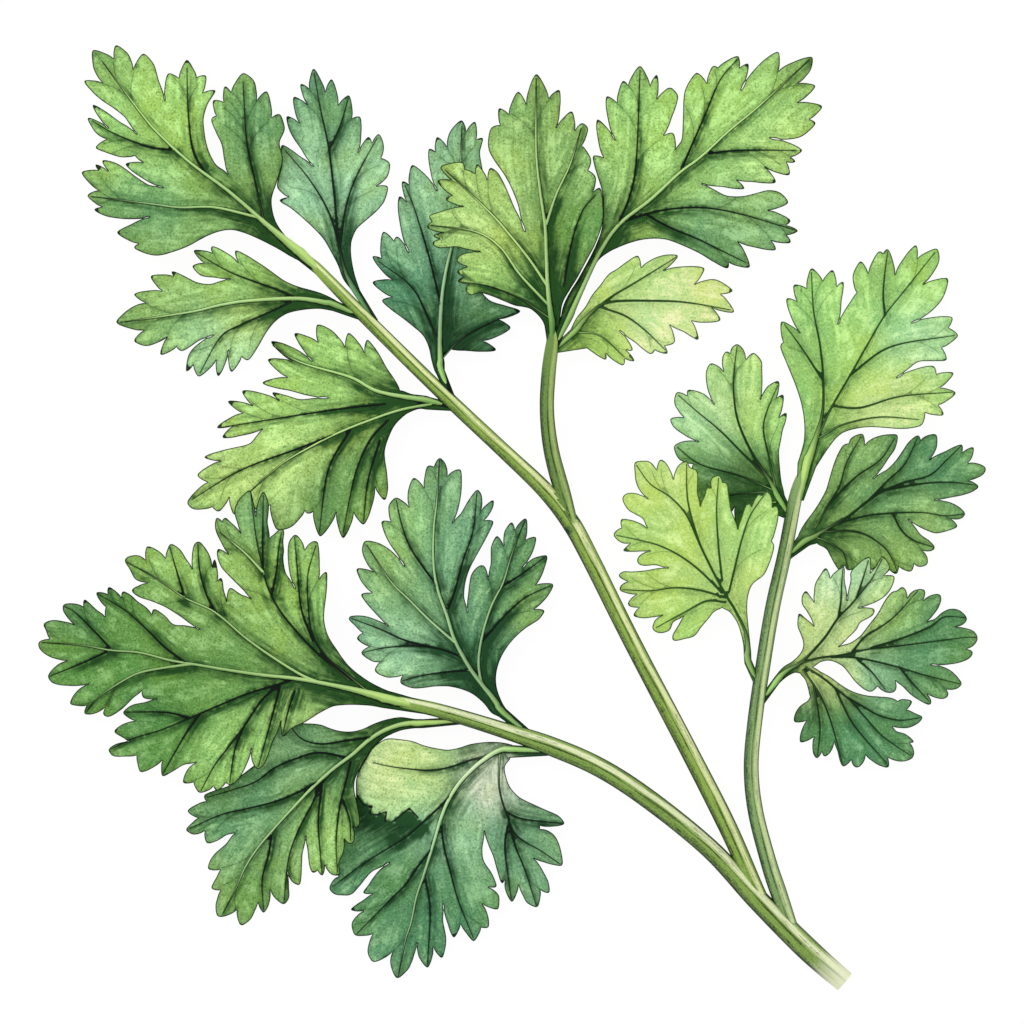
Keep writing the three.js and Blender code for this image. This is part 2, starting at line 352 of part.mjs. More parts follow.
    [[115.8, 68.3], [112.0, 69.4], [108.0, 69.8], [104.0, 69.3], [99.6, 69.5]],
    [[116.0, 67.5], [113.1, 67.7], [110.1, 66.2], [105.0, 63.4]],
    [[116.6, 69.1], [117.8, 74.2], [118.6, 77.4], [119.8, 81.0], [121.3, 83.4], [122.6, 85.1]],
    [[115.5, 71.0], [114.9, 76.6], [114.6, 82.2], [114.9, 87.3]]],
  },
  right_outer_leaf: {
    colour: '#528a40', heights: [2.4, 3.0, 0.35], lifts: [[139, 73, 7, -1.6]],
    margin: [[127.8, 78.4], [129.0, 80.5], [130.2, 82.1], [131.4, 84.0], [132.2, 85.6], [132.7, 87.3],
      [133.2, 89.0], [133.7, 90.4], [135.0, 92.7], [135.8, 92.9], [136.2, 93.8], [138.1, 94.5],
      [138.4, 92.7], [139.6, 93.7], [141.0, 94.2], [143.7, 94.3], [143.3, 92.1], [142.3, 90.6],
      [139.7, 87.3], [142.0, 88.8], [143.3, 90.1], [144.5, 91.8], [145.5, 93.2], [147.0, 94.3],
      [147.4, 93.5], [148.4, 94.2], [149.9, 94.4], [150.0, 92.5], [148.8, 90.3], [151.4, 91.7],
      [154.1, 92.8], [154.1, 91.5], [155.9, 92.4], [155.7, 90.8], [155.0, 89.8], [156.6, 89.7],
      [157.9, 89.0], [157.5, 88.0], [155.2, 87.0], [156.8, 86.0], [155.8, 85.2], [154.1, 84.6],
      [152.0, 84.2], [149.6, 83.9], [151.2, 83.7], [152.3, 83.4], [153.6, 82.7], [154.6, 81.6],
      [153.8, 80.8], [152.3, 80.8], [153.3, 79.6], [152.6, 79.2], [151.0, 78.7], [149.7, 78.5],
      [148.2, 79.0], [145.4, 80.7], [147.4, 78.3], [148.8, 77.3], [149.7, 76.2], [149.2, 75.7],
      [147.7, 75.7], [148.4, 74.7], [148.4, 73.5], [147.0, 73.1], [146.3, 73.6], [145.8, 72.3],
      [143.9, 73.1], [143.5, 71.9], [142.4, 72.6], [140.8, 71.5], [140.5, 73.4], [139.2, 72.5],
      [137.6, 73.4], [135.7, 72.5], [135.2, 73.3], [134.3, 72.6], [133.5, 73.7], [132.8, 75.0],
      [132.2, 76.0], [130.7, 76.9], [129.7, 76.6], [127.3, 75.5]],
    ribs: [[[127.8, 76.8], [129.6, 77.6], [132.8, 79.5], [136.0, 81.4], [138.9, 83.7], [141.6, 85.4],
      [144.8, 86.7], [148.8, 87.8], [151.5, 90.2], [153.9, 92.5]],
    [[141.6, 85.4], [147.2, 86.4], [152.0, 86.7], [156.4, 86.2]],
    [[132.8, 79.5], [136.0, 80.6], [139.2, 81.4], [144.0, 81.8], [148.0, 81.8], [151.2, 81.3],
      [154.3, 81.6]], [[142.9, 81.6], [144.3, 79.0], [146.2, 77.4], [149.4, 76.3]],
    [[131.5, 78.7], [136.0, 78.9], [138.9, 78.1], [141.6, 76.2], [142.9, 74.2], [143.6, 72.4]],
    [[130.4, 77.9], [132.6, 77.1], [134.9, 75.5], [135.7, 72.9]],
    [[130.4, 79.4], [132.5, 83.0], [134.4, 86.2], [135.5, 89.9], [137.8, 94.0]],
    [[132.5, 83.0], [136.8, 87.4], [140.8, 90.2], [143.2, 93.7]],
    [[138.9, 83.7], [142.1, 87.0], [144.8, 89.6], [146.9, 93.8]]],
  },
  right_foot_leaf: {
    colour: '#4f8b55', heights: [2.6, 3.4, 0.35], lifts: [[139, 72, 8, 3.6]],
    margin: [[123.4, 54.6], [124.3, 56.0], [125.4, 57.2], [126.7, 58.0], [127.8, 59.0], [128.4, 60.0],
      [128.5, 61.0], [128.1, 62.3], [127.6, 63.6], [127.6, 64.9], [127.8, 65.8], [128.8, 65.0],
      [130.2, 63.7], [129.8, 64.7], [129.0, 66.1], [128.3, 67.2], [128.3, 68.5], [128.9, 69.4],
      [129.6, 68.5], [130.2, 67.6], [130.2, 69.2], [130.4, 70.5], [131.2, 71.9], [132.1, 73.1],
      [132.8, 71.4], [133.4, 72.2], [135.0, 73.3], [135.1, 71.0], [135.5, 67.8], [136.0, 71.0],
      [136.0, 72.3], [138.3, 74.5], [139.2, 74.8], [139.3, 73.9], [139.2, 72.2], [140.1, 73.3],
      [141.2, 75.0], [142.4, 73.1], [141.4, 71.8], [143.1, 71.7], [142.8, 70.3], [141.9, 68.8],
      [140.6, 67.8], [139.3, 67.2], [137.3, 66.6], [139.9, 66.4], [139.7, 65.5], [138.8, 64.9],
      [137.6, 64.2], [137.0, 63.1], [135.7, 61.8], [134.2, 60.4], [136.0, 61.0], [137.5, 62.0],
      [139.0, 63.9], [140.3, 65.6], [141.6, 67.9], [142.6, 69.1], [143.5, 69.4], [144.3, 70.0],
      [144.9, 69.5], [145.2, 68.2], [146.0, 69.2], [147.2, 69.6], [148.1, 69.4], [147.8, 67.8],
      [149.0, 68.6], [150.4, 68.8], [150.7, 68.2], [150.3, 66.7], [149.4, 65.4], [148.4, 64.4],
      [149.6, 64.8], [150.8, 65.8], [152.1, 66.4], [153.6, 66.2], [154.9, 64.9], [154.4, 64.0],
      [153.0, 63.5], [154.7, 63.3], [156.0, 62.8], [156.6, 61.7], [156.0, 60.6], [154.8, 60.0],
      [155.8, 59.5], [155.2, 58.5], [153.6, 57.8], [151.9, 57.5], [149.0, 57.5], [151.1, 57.1],
      [152.6, 56.2], [154.0, 54.4], [153.1, 53.6], [151.5, 53.5], [151.8, 52.6], [151.1, 52.0],
      [149.6, 52.2], [148.4, 52.8], [149.1, 51.5], [148.8, 51.0], [147.2, 51.7], [145.7, 52.7],
      [144.4, 54.0], [143.3, 54.9], [143.4, 53.5], [142.8, 53.0], [141.6, 53.1], [140.4, 54.0],
      [139.3, 53.1], [138.0, 53.7], [136.7, 54.9], [135.7, 56.2], [134.7, 57.3], [132.9, 58.1],
      [131.3, 57.9], [130.1, 57.1], [131.3, 56.4], [132.9, 55.5], [134.7, 54.2], [136.5, 53.2],
      [138.6, 52.6], [142.6, 52.2], [143.6, 51.7], [144.4, 52.0], [146.0, 51.7], [145.1, 50.3],
      [146.5, 49.7], [147.7, 49.1], [146.9, 48.1], [145.4, 47.4], [142.8, 47.6], [143.4, 46.9],
      [144.9, 46.4], [146.3, 45.1], [145.6, 45.0], [146.2, 43.9], [146.2, 42.8], [145.4, 42.2],
      [143.9, 42.0], [142.1, 42.6], [142.2, 41.0], [140.8, 41.3], [139.6, 42.0], [138.5, 43.0],
      [138.1, 41.8], [137.2, 41.0], [136.6, 41.2], [136.2, 42.2], [134.9, 41.1], [134.4, 42.0],
      [134.0, 43.6], [133.5, 45.1], [132.9, 43.5], [131.9, 42.7], [131.5, 43.5], [130.7, 42.4],
      [130.1, 43.3], [130.0, 44.9], [130.2, 45.9], [128.0, 45.0], [128.0, 46.2], [129.0, 48.5],
      [127.0, 48.3], [127.2, 49.7], [128.0, 50.9], [129.3, 51.8], [129.6, 52.4], [129.3, 53.6],
      [128.8, 55.1], [128.0, 56.1], [127.2, 56.2], [126.0, 55.6], [124.5, 54.3], [123.5, 53.0]],
    ribs: [[[123.7, 54.2], [125.6, 56.3], [128.0, 57.7], [129.9, 59.5], [132.0, 61.9], [134.1, 65.0],
      [136.0, 67.0], [137.9, 69.3], [139.5, 71.4], [141.1, 74.4]],
    [[134.1, 65.0], [134.5, 67.8], [134.6, 70.2], [134.8, 72.8]],
    [[137.0, 68.2], [137.9, 71.0], [138.9, 74.2]],
    [[128.0, 57.7], [131.2, 58.6], [134.4, 59.0], [139.2, 60.0], [144.0, 60.5], [148.8, 61.1],
      [154.4, 61.8], [156.2, 61.8]], [[136.3, 59.5], [138.4, 62.0], [140.8, 63.5], [143.2, 65.3],
      [146.9, 69.3]], [[139.4, 60.2], [144.0, 61.6], [148.8, 63.5], [151.2, 65.1], [154.6, 65.0]],
    [[133.1, 58.7], [136.0, 58.7], [139.2, 58.2], [144.0, 57.0], [148.0, 55.8], [153.6, 54.4]],
    [[144.0, 57.0], [145.6, 55.0], [148.6, 51.7]], [[137.3, 58.2], [139.5, 56.3], [141.6, 53.6]],
    [[129.0, 57.0], [131.2, 55.7], [133.6, 53.8], [136.0, 51.8], [138.4, 49.1], [140.8, 46.4],
      [143.2, 44.6], [145.6, 43.0]], [[133.6, 53.8], [134.9, 51.0], [136.3, 48.3], [138.6, 45.4],
      [141.8, 41.8]], [[128.5, 56.6], [129.9, 54.7], [131.4, 52.3], [132.6, 49.4], [133.6, 46.2],
      [134.8, 41.6]], [[135.7, 52.2], [138.4, 50.6], [140.8, 49.3], [144.0, 48.6], [147.2, 49.0]],
    [[130.2, 53.9], [130.9, 50.2], [131.2, 47.0], [130.8, 42.9]]],
  },
  left_tip_leaf: {
    colour: '#4c8438', heights: [3.4, 6.5, 0.35], lifts: [[41, 82, 7, 1.2]],
    margin: [[63.7, 52.8], [62.0, 53.4], [59.0, 54.9], [55.9, 57.3], [53.9, 60.0], [52.5, 62.3],
      [51.9, 65.0], [52.2, 68.1], [52.4, 70.5], [52.3, 72.5], [51.1, 71.3], [51.2, 73.5],
      [51.1, 75.9], [50.8, 77.3], [49.8, 77.1], [48.8, 75.9], [48.4, 77.2], [47.3, 78.4],
      [46.4, 77.4], [46.1, 76.2], [46.3, 72.6], [47.3, 69.7], [45.8, 72.2], [45.4, 74.4],
      [45.5, 75.7], [45.4, 77.2], [45.5, 79.1], [44.7, 79.1], [43.9, 78.4], [43.2, 77.8],
      [42.9, 80.3], [43.1, 83.0], [42.2, 85.3], [41.5, 84.0], [41.0, 81.3], [40.6, 83.7],
      [40.1, 85.5], [39.0, 84.7], [38.1, 83.6], [37.6, 82.0], [38.1, 80.0], [38.6, 78.6],
      [36.9, 80.4], [36.1, 81.1], [35.6, 80.5], [34.7, 81.1], [34.5, 79.2], [35.4, 77.1],
      [36.6, 75.2], [34.9, 76.1], [34.8, 74.9], [35.4, 73.2], [37.3, 71.1], [39.0, 69.4],
      [40.2, 68.1], [38.6, 68.8], [36.8, 69.9], [36.3, 67.7], [35.9, 69.4], [35.5, 71.5],
      [34.9, 71.0], [34.9, 72.5], [34.4, 74.5], [34.0, 73.2], [33.6, 75.0], [32.5, 76.7],
      [31.7, 77.3], [31.0, 76.5], [30.7, 74.2], [30.8, 72.9], [29.8, 74.5], [28.8, 76.0],
      [27.3, 76.9], [26.5, 74.6], [25.1, 75.9], [23.5, 76.5], [23.3, 74.3], [22.1, 75.0],
      [20.5, 74.8], [19.9, 74.2], [20.7, 72.8], [21.7, 71.1], [23.6, 70.6], [21.0, 69.4],
      [22.1, 68.4], [24.1, 67.7], [26.5, 66.7], [29.2, 65.0], [32.0, 63.2], [29.8, 63.8],
      [27.8, 64.0], [26.5, 65.3], [24.6, 66.5], [24.3, 65.6], [23.4, 66.7], [22.1, 67.6],
      [21.0, 68.6], [19.6, 69.3], [19.4, 68.3], [17.3, 70.0], [17.2, 68.8], [15.3, 69.1],
      [15.8, 67.9], [16.9, 66.7], [16.8, 65.2], [15.3, 66.4], [13.4, 68.0], [13.3, 66.8],
      [11.6, 67.3], [10.0, 67.1], [10.0, 66.1], [11.8, 63.9], [10.2, 64.4], [8.2, 64.6],
      [6.8, 64.0], [7.2, 63.0], [7.8, 61.6], [6.0, 61.1], [6.2, 60.0], [7.5, 58.9],
      [10.6, 58.1], [8.9, 57.3], [7.5, 55.6], [8.2, 54.6], [10.6, 54.1], [14.1, 54.4],
      [12.2, 53.2], [11.1, 51.2], [13.8, 50.9], [13.4, 49.6], [15.0, 49.6], [16.8, 50.6],
      [16.5, 49.5], [17.3, 49.1], [19.3, 50.2], [21.4, 52.2], [22.7, 53.3], [22.9, 52.2],
      [25.1, 52.0], [23.1, 51.5], [21.0, 51.0], [19.6, 49.8], [21.6, 48.5], [19.3, 47.8],
      [18.2, 46.8], [19.7, 45.8], [20.7, 45.2], [18.3, 44.7], [17.3, 43.9], [18.0, 42.9],
      [20.0, 42.8], [21.9, 43.0], [22.1, 41.4], [22.5, 40.3], [24.1, 40.8], [26.0, 42.2],
      [26.0, 39.6], [27.8, 40.5], [29.5, 41.5], [31.4, 41.9], [30.0, 40.7], [29.3, 38.6],
      [31.0, 38.7], [31.9, 37.0], [33.6, 37.5], [34.2, 38.1], [34.7, 37.3], [36.2, 38.6],
      [37.0, 38.2], [38.3, 39.3], [39.6, 41.7], [40.3, 44.1], [40.4, 42.0], [41.3, 40.7],
      [42.4, 41.7], [43.7, 45.1], [45.0, 48.5], [45.3, 45.9], [46.8, 47.3], [48.8, 48.3],
      [51.2, 49.8], [53.2, 50.8], [56.2, 51.1], [59.6, 50.9], [63.7, 50.4]],
    ribs: [[[63.4, 51.6], [59.2, 52.8], [55.2, 53.8], [48.0, 55.2], [42.4, 55.8], [36.8, 56.6],
      [32.0, 57.4], [27.2, 58.2], [22.4, 59.4], [17.6, 59.8], [12.8, 60.6], [6.6, 61.0]],
    [[59.2, 53.0], [55.2, 56.3], [52.0, 59.0], [50.1, 62.2], [49.4, 66.2], [49.3, 71.8], [50.6, 76.6]],
    [[56.0, 55.0], [51.2, 59.0], [47.7, 62.6], [44.8, 66.2], [42.9, 69.9], [41.8, 74.2],
      [41.0, 78.2], [40.2, 85.0]], [[42.1, 72.6], [42.1, 77.4], [42.2, 84.6]],
    [[42.1, 72.3], [39.2, 75.4], [35.2, 78.7]], [[43.5, 68.6], [44.3, 72.6], [44.6, 75.8], [45.1, 78.7]],
    [[50.1, 61.4], [48.3, 66.2], [47.7, 71.8], [47.2, 77.9]],
    [[51.2, 54.6], [48.0, 56.0], [43.2, 59.0], [39.2, 61.9], [34.4, 65.9], [29.6, 68.2],
      [25.6, 71.0], [20.3, 73.9]], [[34.7, 65.8], [33.1, 68.6], [32.0, 72.6], [31.7, 76.8]],
    [[29.6, 68.2], [28.5, 71.8], [27.2, 76.3]],
    [[29.6, 57.9], [26.4, 60.3], [23.2, 63.4], [20.0, 66.2], [15.6, 68.8]],
    [[30.7, 57.6], [26.4, 57.0], [22.4, 56.2], [19.2, 54.6], [15.7, 52.2], [13.8, 49.9]],
    [[17.9, 59.8], [15.2, 62.7], [12.0, 65.8], [10.2, 66.8]], [[17.6, 59.8], [12.8, 57.6], [7.8, 55.6]],
    [[46.4, 54.9], [40.0, 53.0], [36.0, 51.4], [30.4, 49.0], [25.6, 47.0], [21.6, 45.8],
      [17.7, 44.0]], [[30.4, 49.0], [26.4, 49.9], [20.0, 49.9]],
    [[32.0, 49.6], [29.6, 46.2], [26.2, 40.2]],
    [[44.5, 54.1], [41.9, 51.8], [39.2, 47.8], [36.8, 44.6], [34.4, 41.4], [32.2, 37.4]],
    [[38.9, 47.4], [37.6, 43.8], [36.8, 38.7]], [[44.8, 53.8], [43.2, 47.8], [41.4, 41.3]],
    [[47.2, 53.4], [46.1, 49.9], [45.3, 46.4]]],
  },
  left_upper_leaf: {
    colour: '#4c8a52', heights: [2.8, 4.0, 0.35], lifts: [],
    margin: [[79.5, 49.3], [78.6, 49.8], [77.4, 51.3], [75.6, 52.8], [73.7, 53.6], [71.9, 54.0],
      [69.4, 54.0], [66.3, 53.7], [64.0, 54.6], [64.4, 55.8], [61.7, 55.5], [59.9, 56.5],
      [60.7, 57.9], [59.4, 58.1], [57.7, 59.4], [59.0, 60.4], [57.0, 61.7], [58.0, 62.6],
      [56.8, 63.7], [55.7, 64.9], [56.2, 65.3], [58.3, 65.3], [60.2, 64.7], [62.1, 63.7],
      [60.8, 64.9], [59.4, 66.4], [57.7, 68.8], [59.5, 69.0], [58.0, 70.5], [57.0, 72.9],
      [59.7, 72.4], [58.5, 74.0], [57.9, 75.8], [58.3, 77.3], [60.2, 77.1], [62.0, 76.2],
      [64.7, 73.3], [63.6, 75.0], [62.0, 77.4], [61.0, 80.5], [62.5, 80.4], [62.2, 83.1],
      [63.3, 84.3], [65.4, 82.8], [65.2, 84.8], [65.6, 86.5], [66.2, 87.5], [67.8, 85.9],
      [67.9, 87.6], [68.4, 89.4], [69.4, 89.2], [70.3, 90.7], [71.3, 89.6], [71.6, 87.7],
      [72.5, 88.5], [73.7, 88.8], [73.9, 86.7], [73.6, 83.6], [72.4, 80.2], [73.7, 81.7],
      [75.0, 83.9], [76.4, 85.6], [77.1, 84.5], [77.0, 82.2], [79.0, 83.9], [78.9, 82.7],
      [77.5, 80.6], [79.0, 80.5], [78.3, 78.7], [76.8, 75.9], [75.3, 73.1], [74.5, 70.7],
      [74.3, 68.2], [74.8, 65.9], [74.9, 68.8], [75.4, 71.9], [76.2, 73.0], [77.2, 73.5],
      [77.8, 72.8], [78.1, 71.1], [78.5, 73.7], [78.6, 76.5], [79.5, 78.2], [80.6, 76.6],
      [80.8, 79.0], [81.9, 80.4], [82.4, 79.1], [83.3, 80.4], [84.2, 81.0], [84.4, 79.6],
      [84.1, 77.5], [85.8, 78.0], [85.4, 75.9], [83.6, 73.0], [85.1, 74.4], [87.6, 75.0],
      [87.1, 72.8], [85.8, 70.3], [88.6, 70.4], [87.9, 68.8], [85.5, 66.4], [87.2, 66.2],
      [86.3, 64.8], [84.2, 63.4], [82.0, 61.4], [80.2, 58.7], [79.4, 55.9], [79.6, 53.4],
      [80.8, 50.7], [82.2, 49.0], [81.9, 48.5]],
    ribs: [[[80.9, 49.2], [79.2, 51.8], [77.6, 53.8], [75.2, 57.0], [72.8, 61.4], [71.5, 65.4],
      [70.1, 69.4], [69.4, 73.4], [69.4, 79.0], [69.9, 83.8], [70.3, 90.2]],
    [[77.0, 54.5], [76.6, 58.2], [77.3, 62.7], [78.7, 67.0], [80.5, 70.6], [81.6, 74.2],
      [82.7, 77.4], [84.0, 80.5]], [[80.0, 69.8], [83.2, 71.8], [87.1, 74.6]],
    [[77.3, 61.4], [80.8, 65.4], [84.0, 68.2], [88.0, 70.1]],
    [[72.8, 61.1], [68.8, 64.6], [65.6, 67.8], [62.4, 71.0], [58.7, 76.6]],
    [[74.2, 58.6], [70.4, 60.0], [66.4, 60.5], [61.6, 60.2], [58.2, 59.5]],
    [[69.6, 60.2], [64.8, 61.4], [60.8, 63.2], [56.2, 64.9]],
    [[71.5, 65.9], [72.8, 69.4], [74.1, 74.2], [75.7, 79.0], [76.3, 85.0]],
    [[69.8, 70.2], [65.9, 75.8], [64.3, 79.8], [63.4, 83.8]],
    [[75.2, 56.6], [71.2, 56.3], [67.2, 55.7], [64.4, 54.9]]],
  },
  left_lower_outer_leaf: {
    colour: '#55904a', heights: [2.6, 2.2, 0.35], lifts: [[57, 33, 5, 2.0], [54.5, 26.5, 4, 1.6]],
    margin: [[68.8, 48.6], [66.4, 48.8], [64.0, 49.1], [61.7, 48.7], [59.7, 48.0], [58.0, 47.2],
      [56.2, 46.8], [54.3, 46.9], [52.6, 47.4], [51.3, 47.9], [49.1, 48.1], [47.5, 48.0],
      [45.4, 49.6], [43.8, 47.4], [42.6, 44.6], [41.1, 41.8], [39.5, 40.5], [38.1, 39.4],
      [36.5, 38.1], [34.2, 37.3], [32.5, 36.5], [32.9, 35.6], [31.6, 35.2], [29.9, 34.1],
      [30.4, 33.5], [31.6, 32.9], [30.6, 32.1], [29.6, 31.0], [30.9, 30.2], [32.7, 30.8],
      [32.7, 29.7], [33.1, 28.8], [34.8, 29.3], [36.3, 30.2], [37.5, 30.5], [36.1, 28.8],
      [34.3, 27.2], [33.5, 26.0], [33.2, 24.7], [35.2, 24.6], [34.6, 23.5], [33.7, 21.6],
      [35.2, 21.3], [34.6, 19.8], [34.4, 18.6], [34.7, 17.1], [35.9, 17.1], [37.8, 18.1],
      [38.0, 16.6], [38.5, 15.6], [40.0, 16.6], [40.7, 17.9], [41.2, 19.3], [42.1, 17.6],
      [43.0, 19.1], [43.2, 21.4], [43.9, 20.1], [45.4, 19.0], [46.2, 20.1], [46.2, 21.8],
      [45.9, 24.4], [46.6, 22.8], [47.9, 22.1], [48.2, 23.5], [48.4, 27.2], [48.9, 30.0],
      [49.2, 27.7], [49.5, 25.2], [50.0, 24.1], [50.8, 24.5], [51.6, 23.6], [52.0, 25.4],
      [52.6, 24.3], [53.3, 23.8], [54.4, 23.8], [54.3, 25.8], [55.0, 27.5], [55.1, 29.6],
      [56.0, 28.8], [56.7, 29.2], [56.8, 30.4], [56.5, 31.6], [57.4, 31.4], [57.6, 32.6],
      [57.3, 34.6], [56.7, 37.6], [56.8, 39.0], [58.2, 41.9], [59.6, 44.0], [61.3, 45.6],
      [64.0, 46.9], [66.4, 47.3], [68.8, 47.5]],
    ribs: [[[68.5, 48.1], [64.8, 48.0], [61.6, 47.0], [58.9, 45.3], [56.3, 43.0], [53.6, 41.0],
      [50.4, 38.2], [47.2, 34.9], [44.0, 31.4], [41.3, 28.2], [39.2, 25.0], [37.6, 21.4],
      [35.6, 17.6]], [[59.5, 45.9], [55.2, 45.3], [51.2, 44.8], [48.0, 45.8], [45.7, 48.8]],
    [[55.2, 42.7], [50.9, 43.4], [47.2, 42.4], [44.0, 41.0], [40.8, 38.7], [37.1, 37.4],
      [33.1, 36.2]], [[51.2, 39.0], [48.8, 37.6], [44.5, 35.7], [39.5, 34.4], [35.2, 33.4],
      [30.2, 31.2]], [[53.3, 40.6], [51.2, 38.1], [50.1, 35.5], [48.8, 33.1], [47.4, 30.2],
      [46.1, 26.2], [45.4, 19.8]],
    [[56.1, 41.9], [55.2, 38.2], [54.4, 35.0], [53.9, 31.0], [53.8, 27.8], [54.0, 24.4]],
    [[43.5, 30.7], [42.9, 27.0], [41.9, 23.0], [42.1, 18.2]],
    [[51.5, 38.2], [50.9, 32.6], [51.2, 27.8], [51.5, 24.2]],
    [[54.9, 35.8], [56.0, 32.6], [56.1, 29.4]]],
  },
  left_lower_inner_leaf: {
    colour: '#4f8f56', heights: [2.6, 3.2, 0.35], lifts: [[57, 36, 6, -1.9], [54.5, 27, 5, -1.7]],
    margin: [[83.5, 43.9], [80.6, 45.0], [77.5, 45.1], [75.3, 44.8], [73.4, 44.2], [71.7, 43.9],
      [70.0, 44.1], [67.8, 44.6], [66.2, 45.2], [64.2, 45.5], [62.0, 45.5], [60.3, 44.2],
      [58.9, 41.9], [57.3, 39.0], [57.0, 35.8], [56.3, 33.4], [55.4, 30.7], [54.6, 27.8],
      [53.9, 25.4], [54.1, 23.5], [53.3, 23.0], [52.6, 21.6], [53.4, 20.7], [54.8, 20.5],
      [56.1, 20.6], [57.6, 22.1], [59.5, 24.3], [62.3, 25.8], [60.3, 24.2], [58.9, 22.2],
      [58.0, 20.9], [59.6, 20.8], [58.1, 19.8], [56.0, 18.2], [58.1, 18.0], [57.0, 17.2],
      [56.2, 16.0], [56.7, 14.1], [59.6, 14.3], [59.0, 12.9], [58.8, 11.3], [59.6, 9.8],
      [61.2, 10.3], [62.8, 11.5], [62.4, 9.9], [62.8, 8.2], [63.5, 7.1], [65.2, 8.5],
      [66.2, 10.7], [66.7, 12.9], [67.1, 10.4], [68.4, 8.8], [69.2, 10.7], [69.3, 12.2],
      [70.7, 10.4], [71.4, 13.5], [70.9, 16.5], [70.9, 19.2], [71.6, 16.0], [72.6, 13.7],
      [73.7, 15.9], [74.7, 14.3], [75.8, 13.1], [77.0, 15.4], [78.2, 15.4], [78.1, 17.3],
      [77.2, 19.2], [79.7, 18.3], [79.8, 20.7], [78.2, 21.9], [79.5, 21.9], [78.6, 24.3],
      [77.4, 26.2], [77.2, 28.1], [77.5, 30.9], [78.9, 26.8], [79.6, 24.3], [80.3, 22.4],
      [80.8, 23.0], [80.8, 21.5], [81.9, 19.4], [83.0, 22.2], [83.7, 20.4], [84.4, 19.3],
      [86.0, 18.6], [86.5, 20.4], [86.5, 21.4], [87.9, 20.9], [87.8, 22.6], [86.9, 24.5],
      [85.4, 26.5], [87.2, 25.8], [90.0, 25.3], [89.8, 27.6], [89.0, 29.8], [87.8, 30.9],
      [86.4, 31.2], [86.4, 31.7], [90.4, 32.0], [89.4, 33.3], [87.5, 34.2], [85.3, 35.2],
      [83.0, 36.4], [81.7, 37.8], [81.0, 39.5], [80.8, 41.2], [81.7, 42.6], [83.5, 43.0]],
    ribs: [[[82.8, 43.9], [80.0, 43.8], [76.8, 41.8], [73.9, 39.0], [72.0, 36.2], [70.6, 33.0],
      [69.3, 28.6], [67.8, 23.8], [66.6, 20.2], [65.8, 16.3], [64.8, 13.1], [63.7, 7.5]],
    [[72.6, 37.3], [70.6, 35.0], [68.0, 32.6], [64.8, 29.8], [61.6, 27.8], [57.6, 25.2],
      [53.1, 21.8]], [[78.4, 43.0], [75.2, 42.2], [72.0, 41.1], [68.8, 40.6], [65.6, 40.8],
      [62.4, 41.2], [59.7, 41.8]],
    [[70.6, 32.3], [71.0, 28.6], [72.0, 24.6], [73.3, 19.8], [75.7, 13.8]],
    [[69.2, 28.2], [66.7, 25.0], [64.8, 22.2], [62.4, 19.8], [57.1, 14.4]],
    [[67.9, 24.0], [68.8, 18.2], [68.4, 9.4]],
    [[80.0, 43.2], [79.8, 39.0], [80.2, 36.2], [81.1, 33.4], [82.2, 30.7], [84.0, 29.1],
      [86.4, 27.8], [89.6, 25.6]], [[81.3, 33.0], [82.4, 28.6], [84.0, 24.6], [85.8, 19.0]],
    [[81.0, 33.9], [83.7, 32.8], [89.9, 32.1]], [[81.2, 31.6], [80.8, 27.8], [81.8, 20.0]]],
  },
};

// Stalk centre lines on the sheet, each point with its height over the surface and the stalk's radius.
const STALKS = {
  main: [[135.2, 6.7, 1.45, 1.75], [132.0, 9.4, 1.5, 1.85], [128.0, 13.1, 1.52, 1.9],
    [121.0, 20.1, 1.6, 1.75], [113.6, 28.0, 1.9, 1.6], [104.0, 35.8, 2.3, 1.6], [96.0, 41.0, 2.6, 1.58],
    [88.0, 44.5, 2.8, 1.55], [80.0, 47.2, 3.0, 1.3], [70.4, 50.1, 3.2, 1.15], [64.4, 51.5, 3.4, 1.05]],
  middle: [[121.6, 20.2, 1.7, 1.3], [116.4, 31.6, 2.0, 1.5], [110.2, 43.8, 2.6, 1.45],
    [101.0, 61.4, 3.0, 1.42], [94.6, 74.2, 3.2, 1.45], [91.2, 80.4, 3.3, 1.5], [87.0, 85.6, 3.3, 1.35],
    [80.6, 91.7, 3.3, 1.2], [70.4, 101.3, 3.3, 1.15], [57.6, 113.9, 3.1, 1.05], [50.5, 121.2, 3.0, 0.9]],
  branch: [[91.6, 79.6, 3.4, 1.0], [90.0, 85.0, 3.5, 1.3], [88.2, 91.8, 3.5, 1.25],
    [87.5, 98.2, 3.5, 1.15], [87.8, 104.4, 3.5, 1.15], [88.5, 109.4, 3.5, 1.1]],
  right: [[127.1, 14.1, 1.6, 1.1], [124.6, 21.0, 1.9, 1.35], [122.9, 26.2, 2.1, 1.3],
    [120.9, 34.0, 2.3, 1.25], [120.2, 41.0, 2.5, 1.2], [120.8, 48.5, 2.6, 1.2], [122.2, 58.1, 2.6, 1.2],
    [123.7, 67.0, 2.5, 1.2], [125.6, 75.4, 2.4, 1.15], [127.2, 83.8, 2.4, 1.1], [128.3, 87.4, 2.5, 1.05]],
};

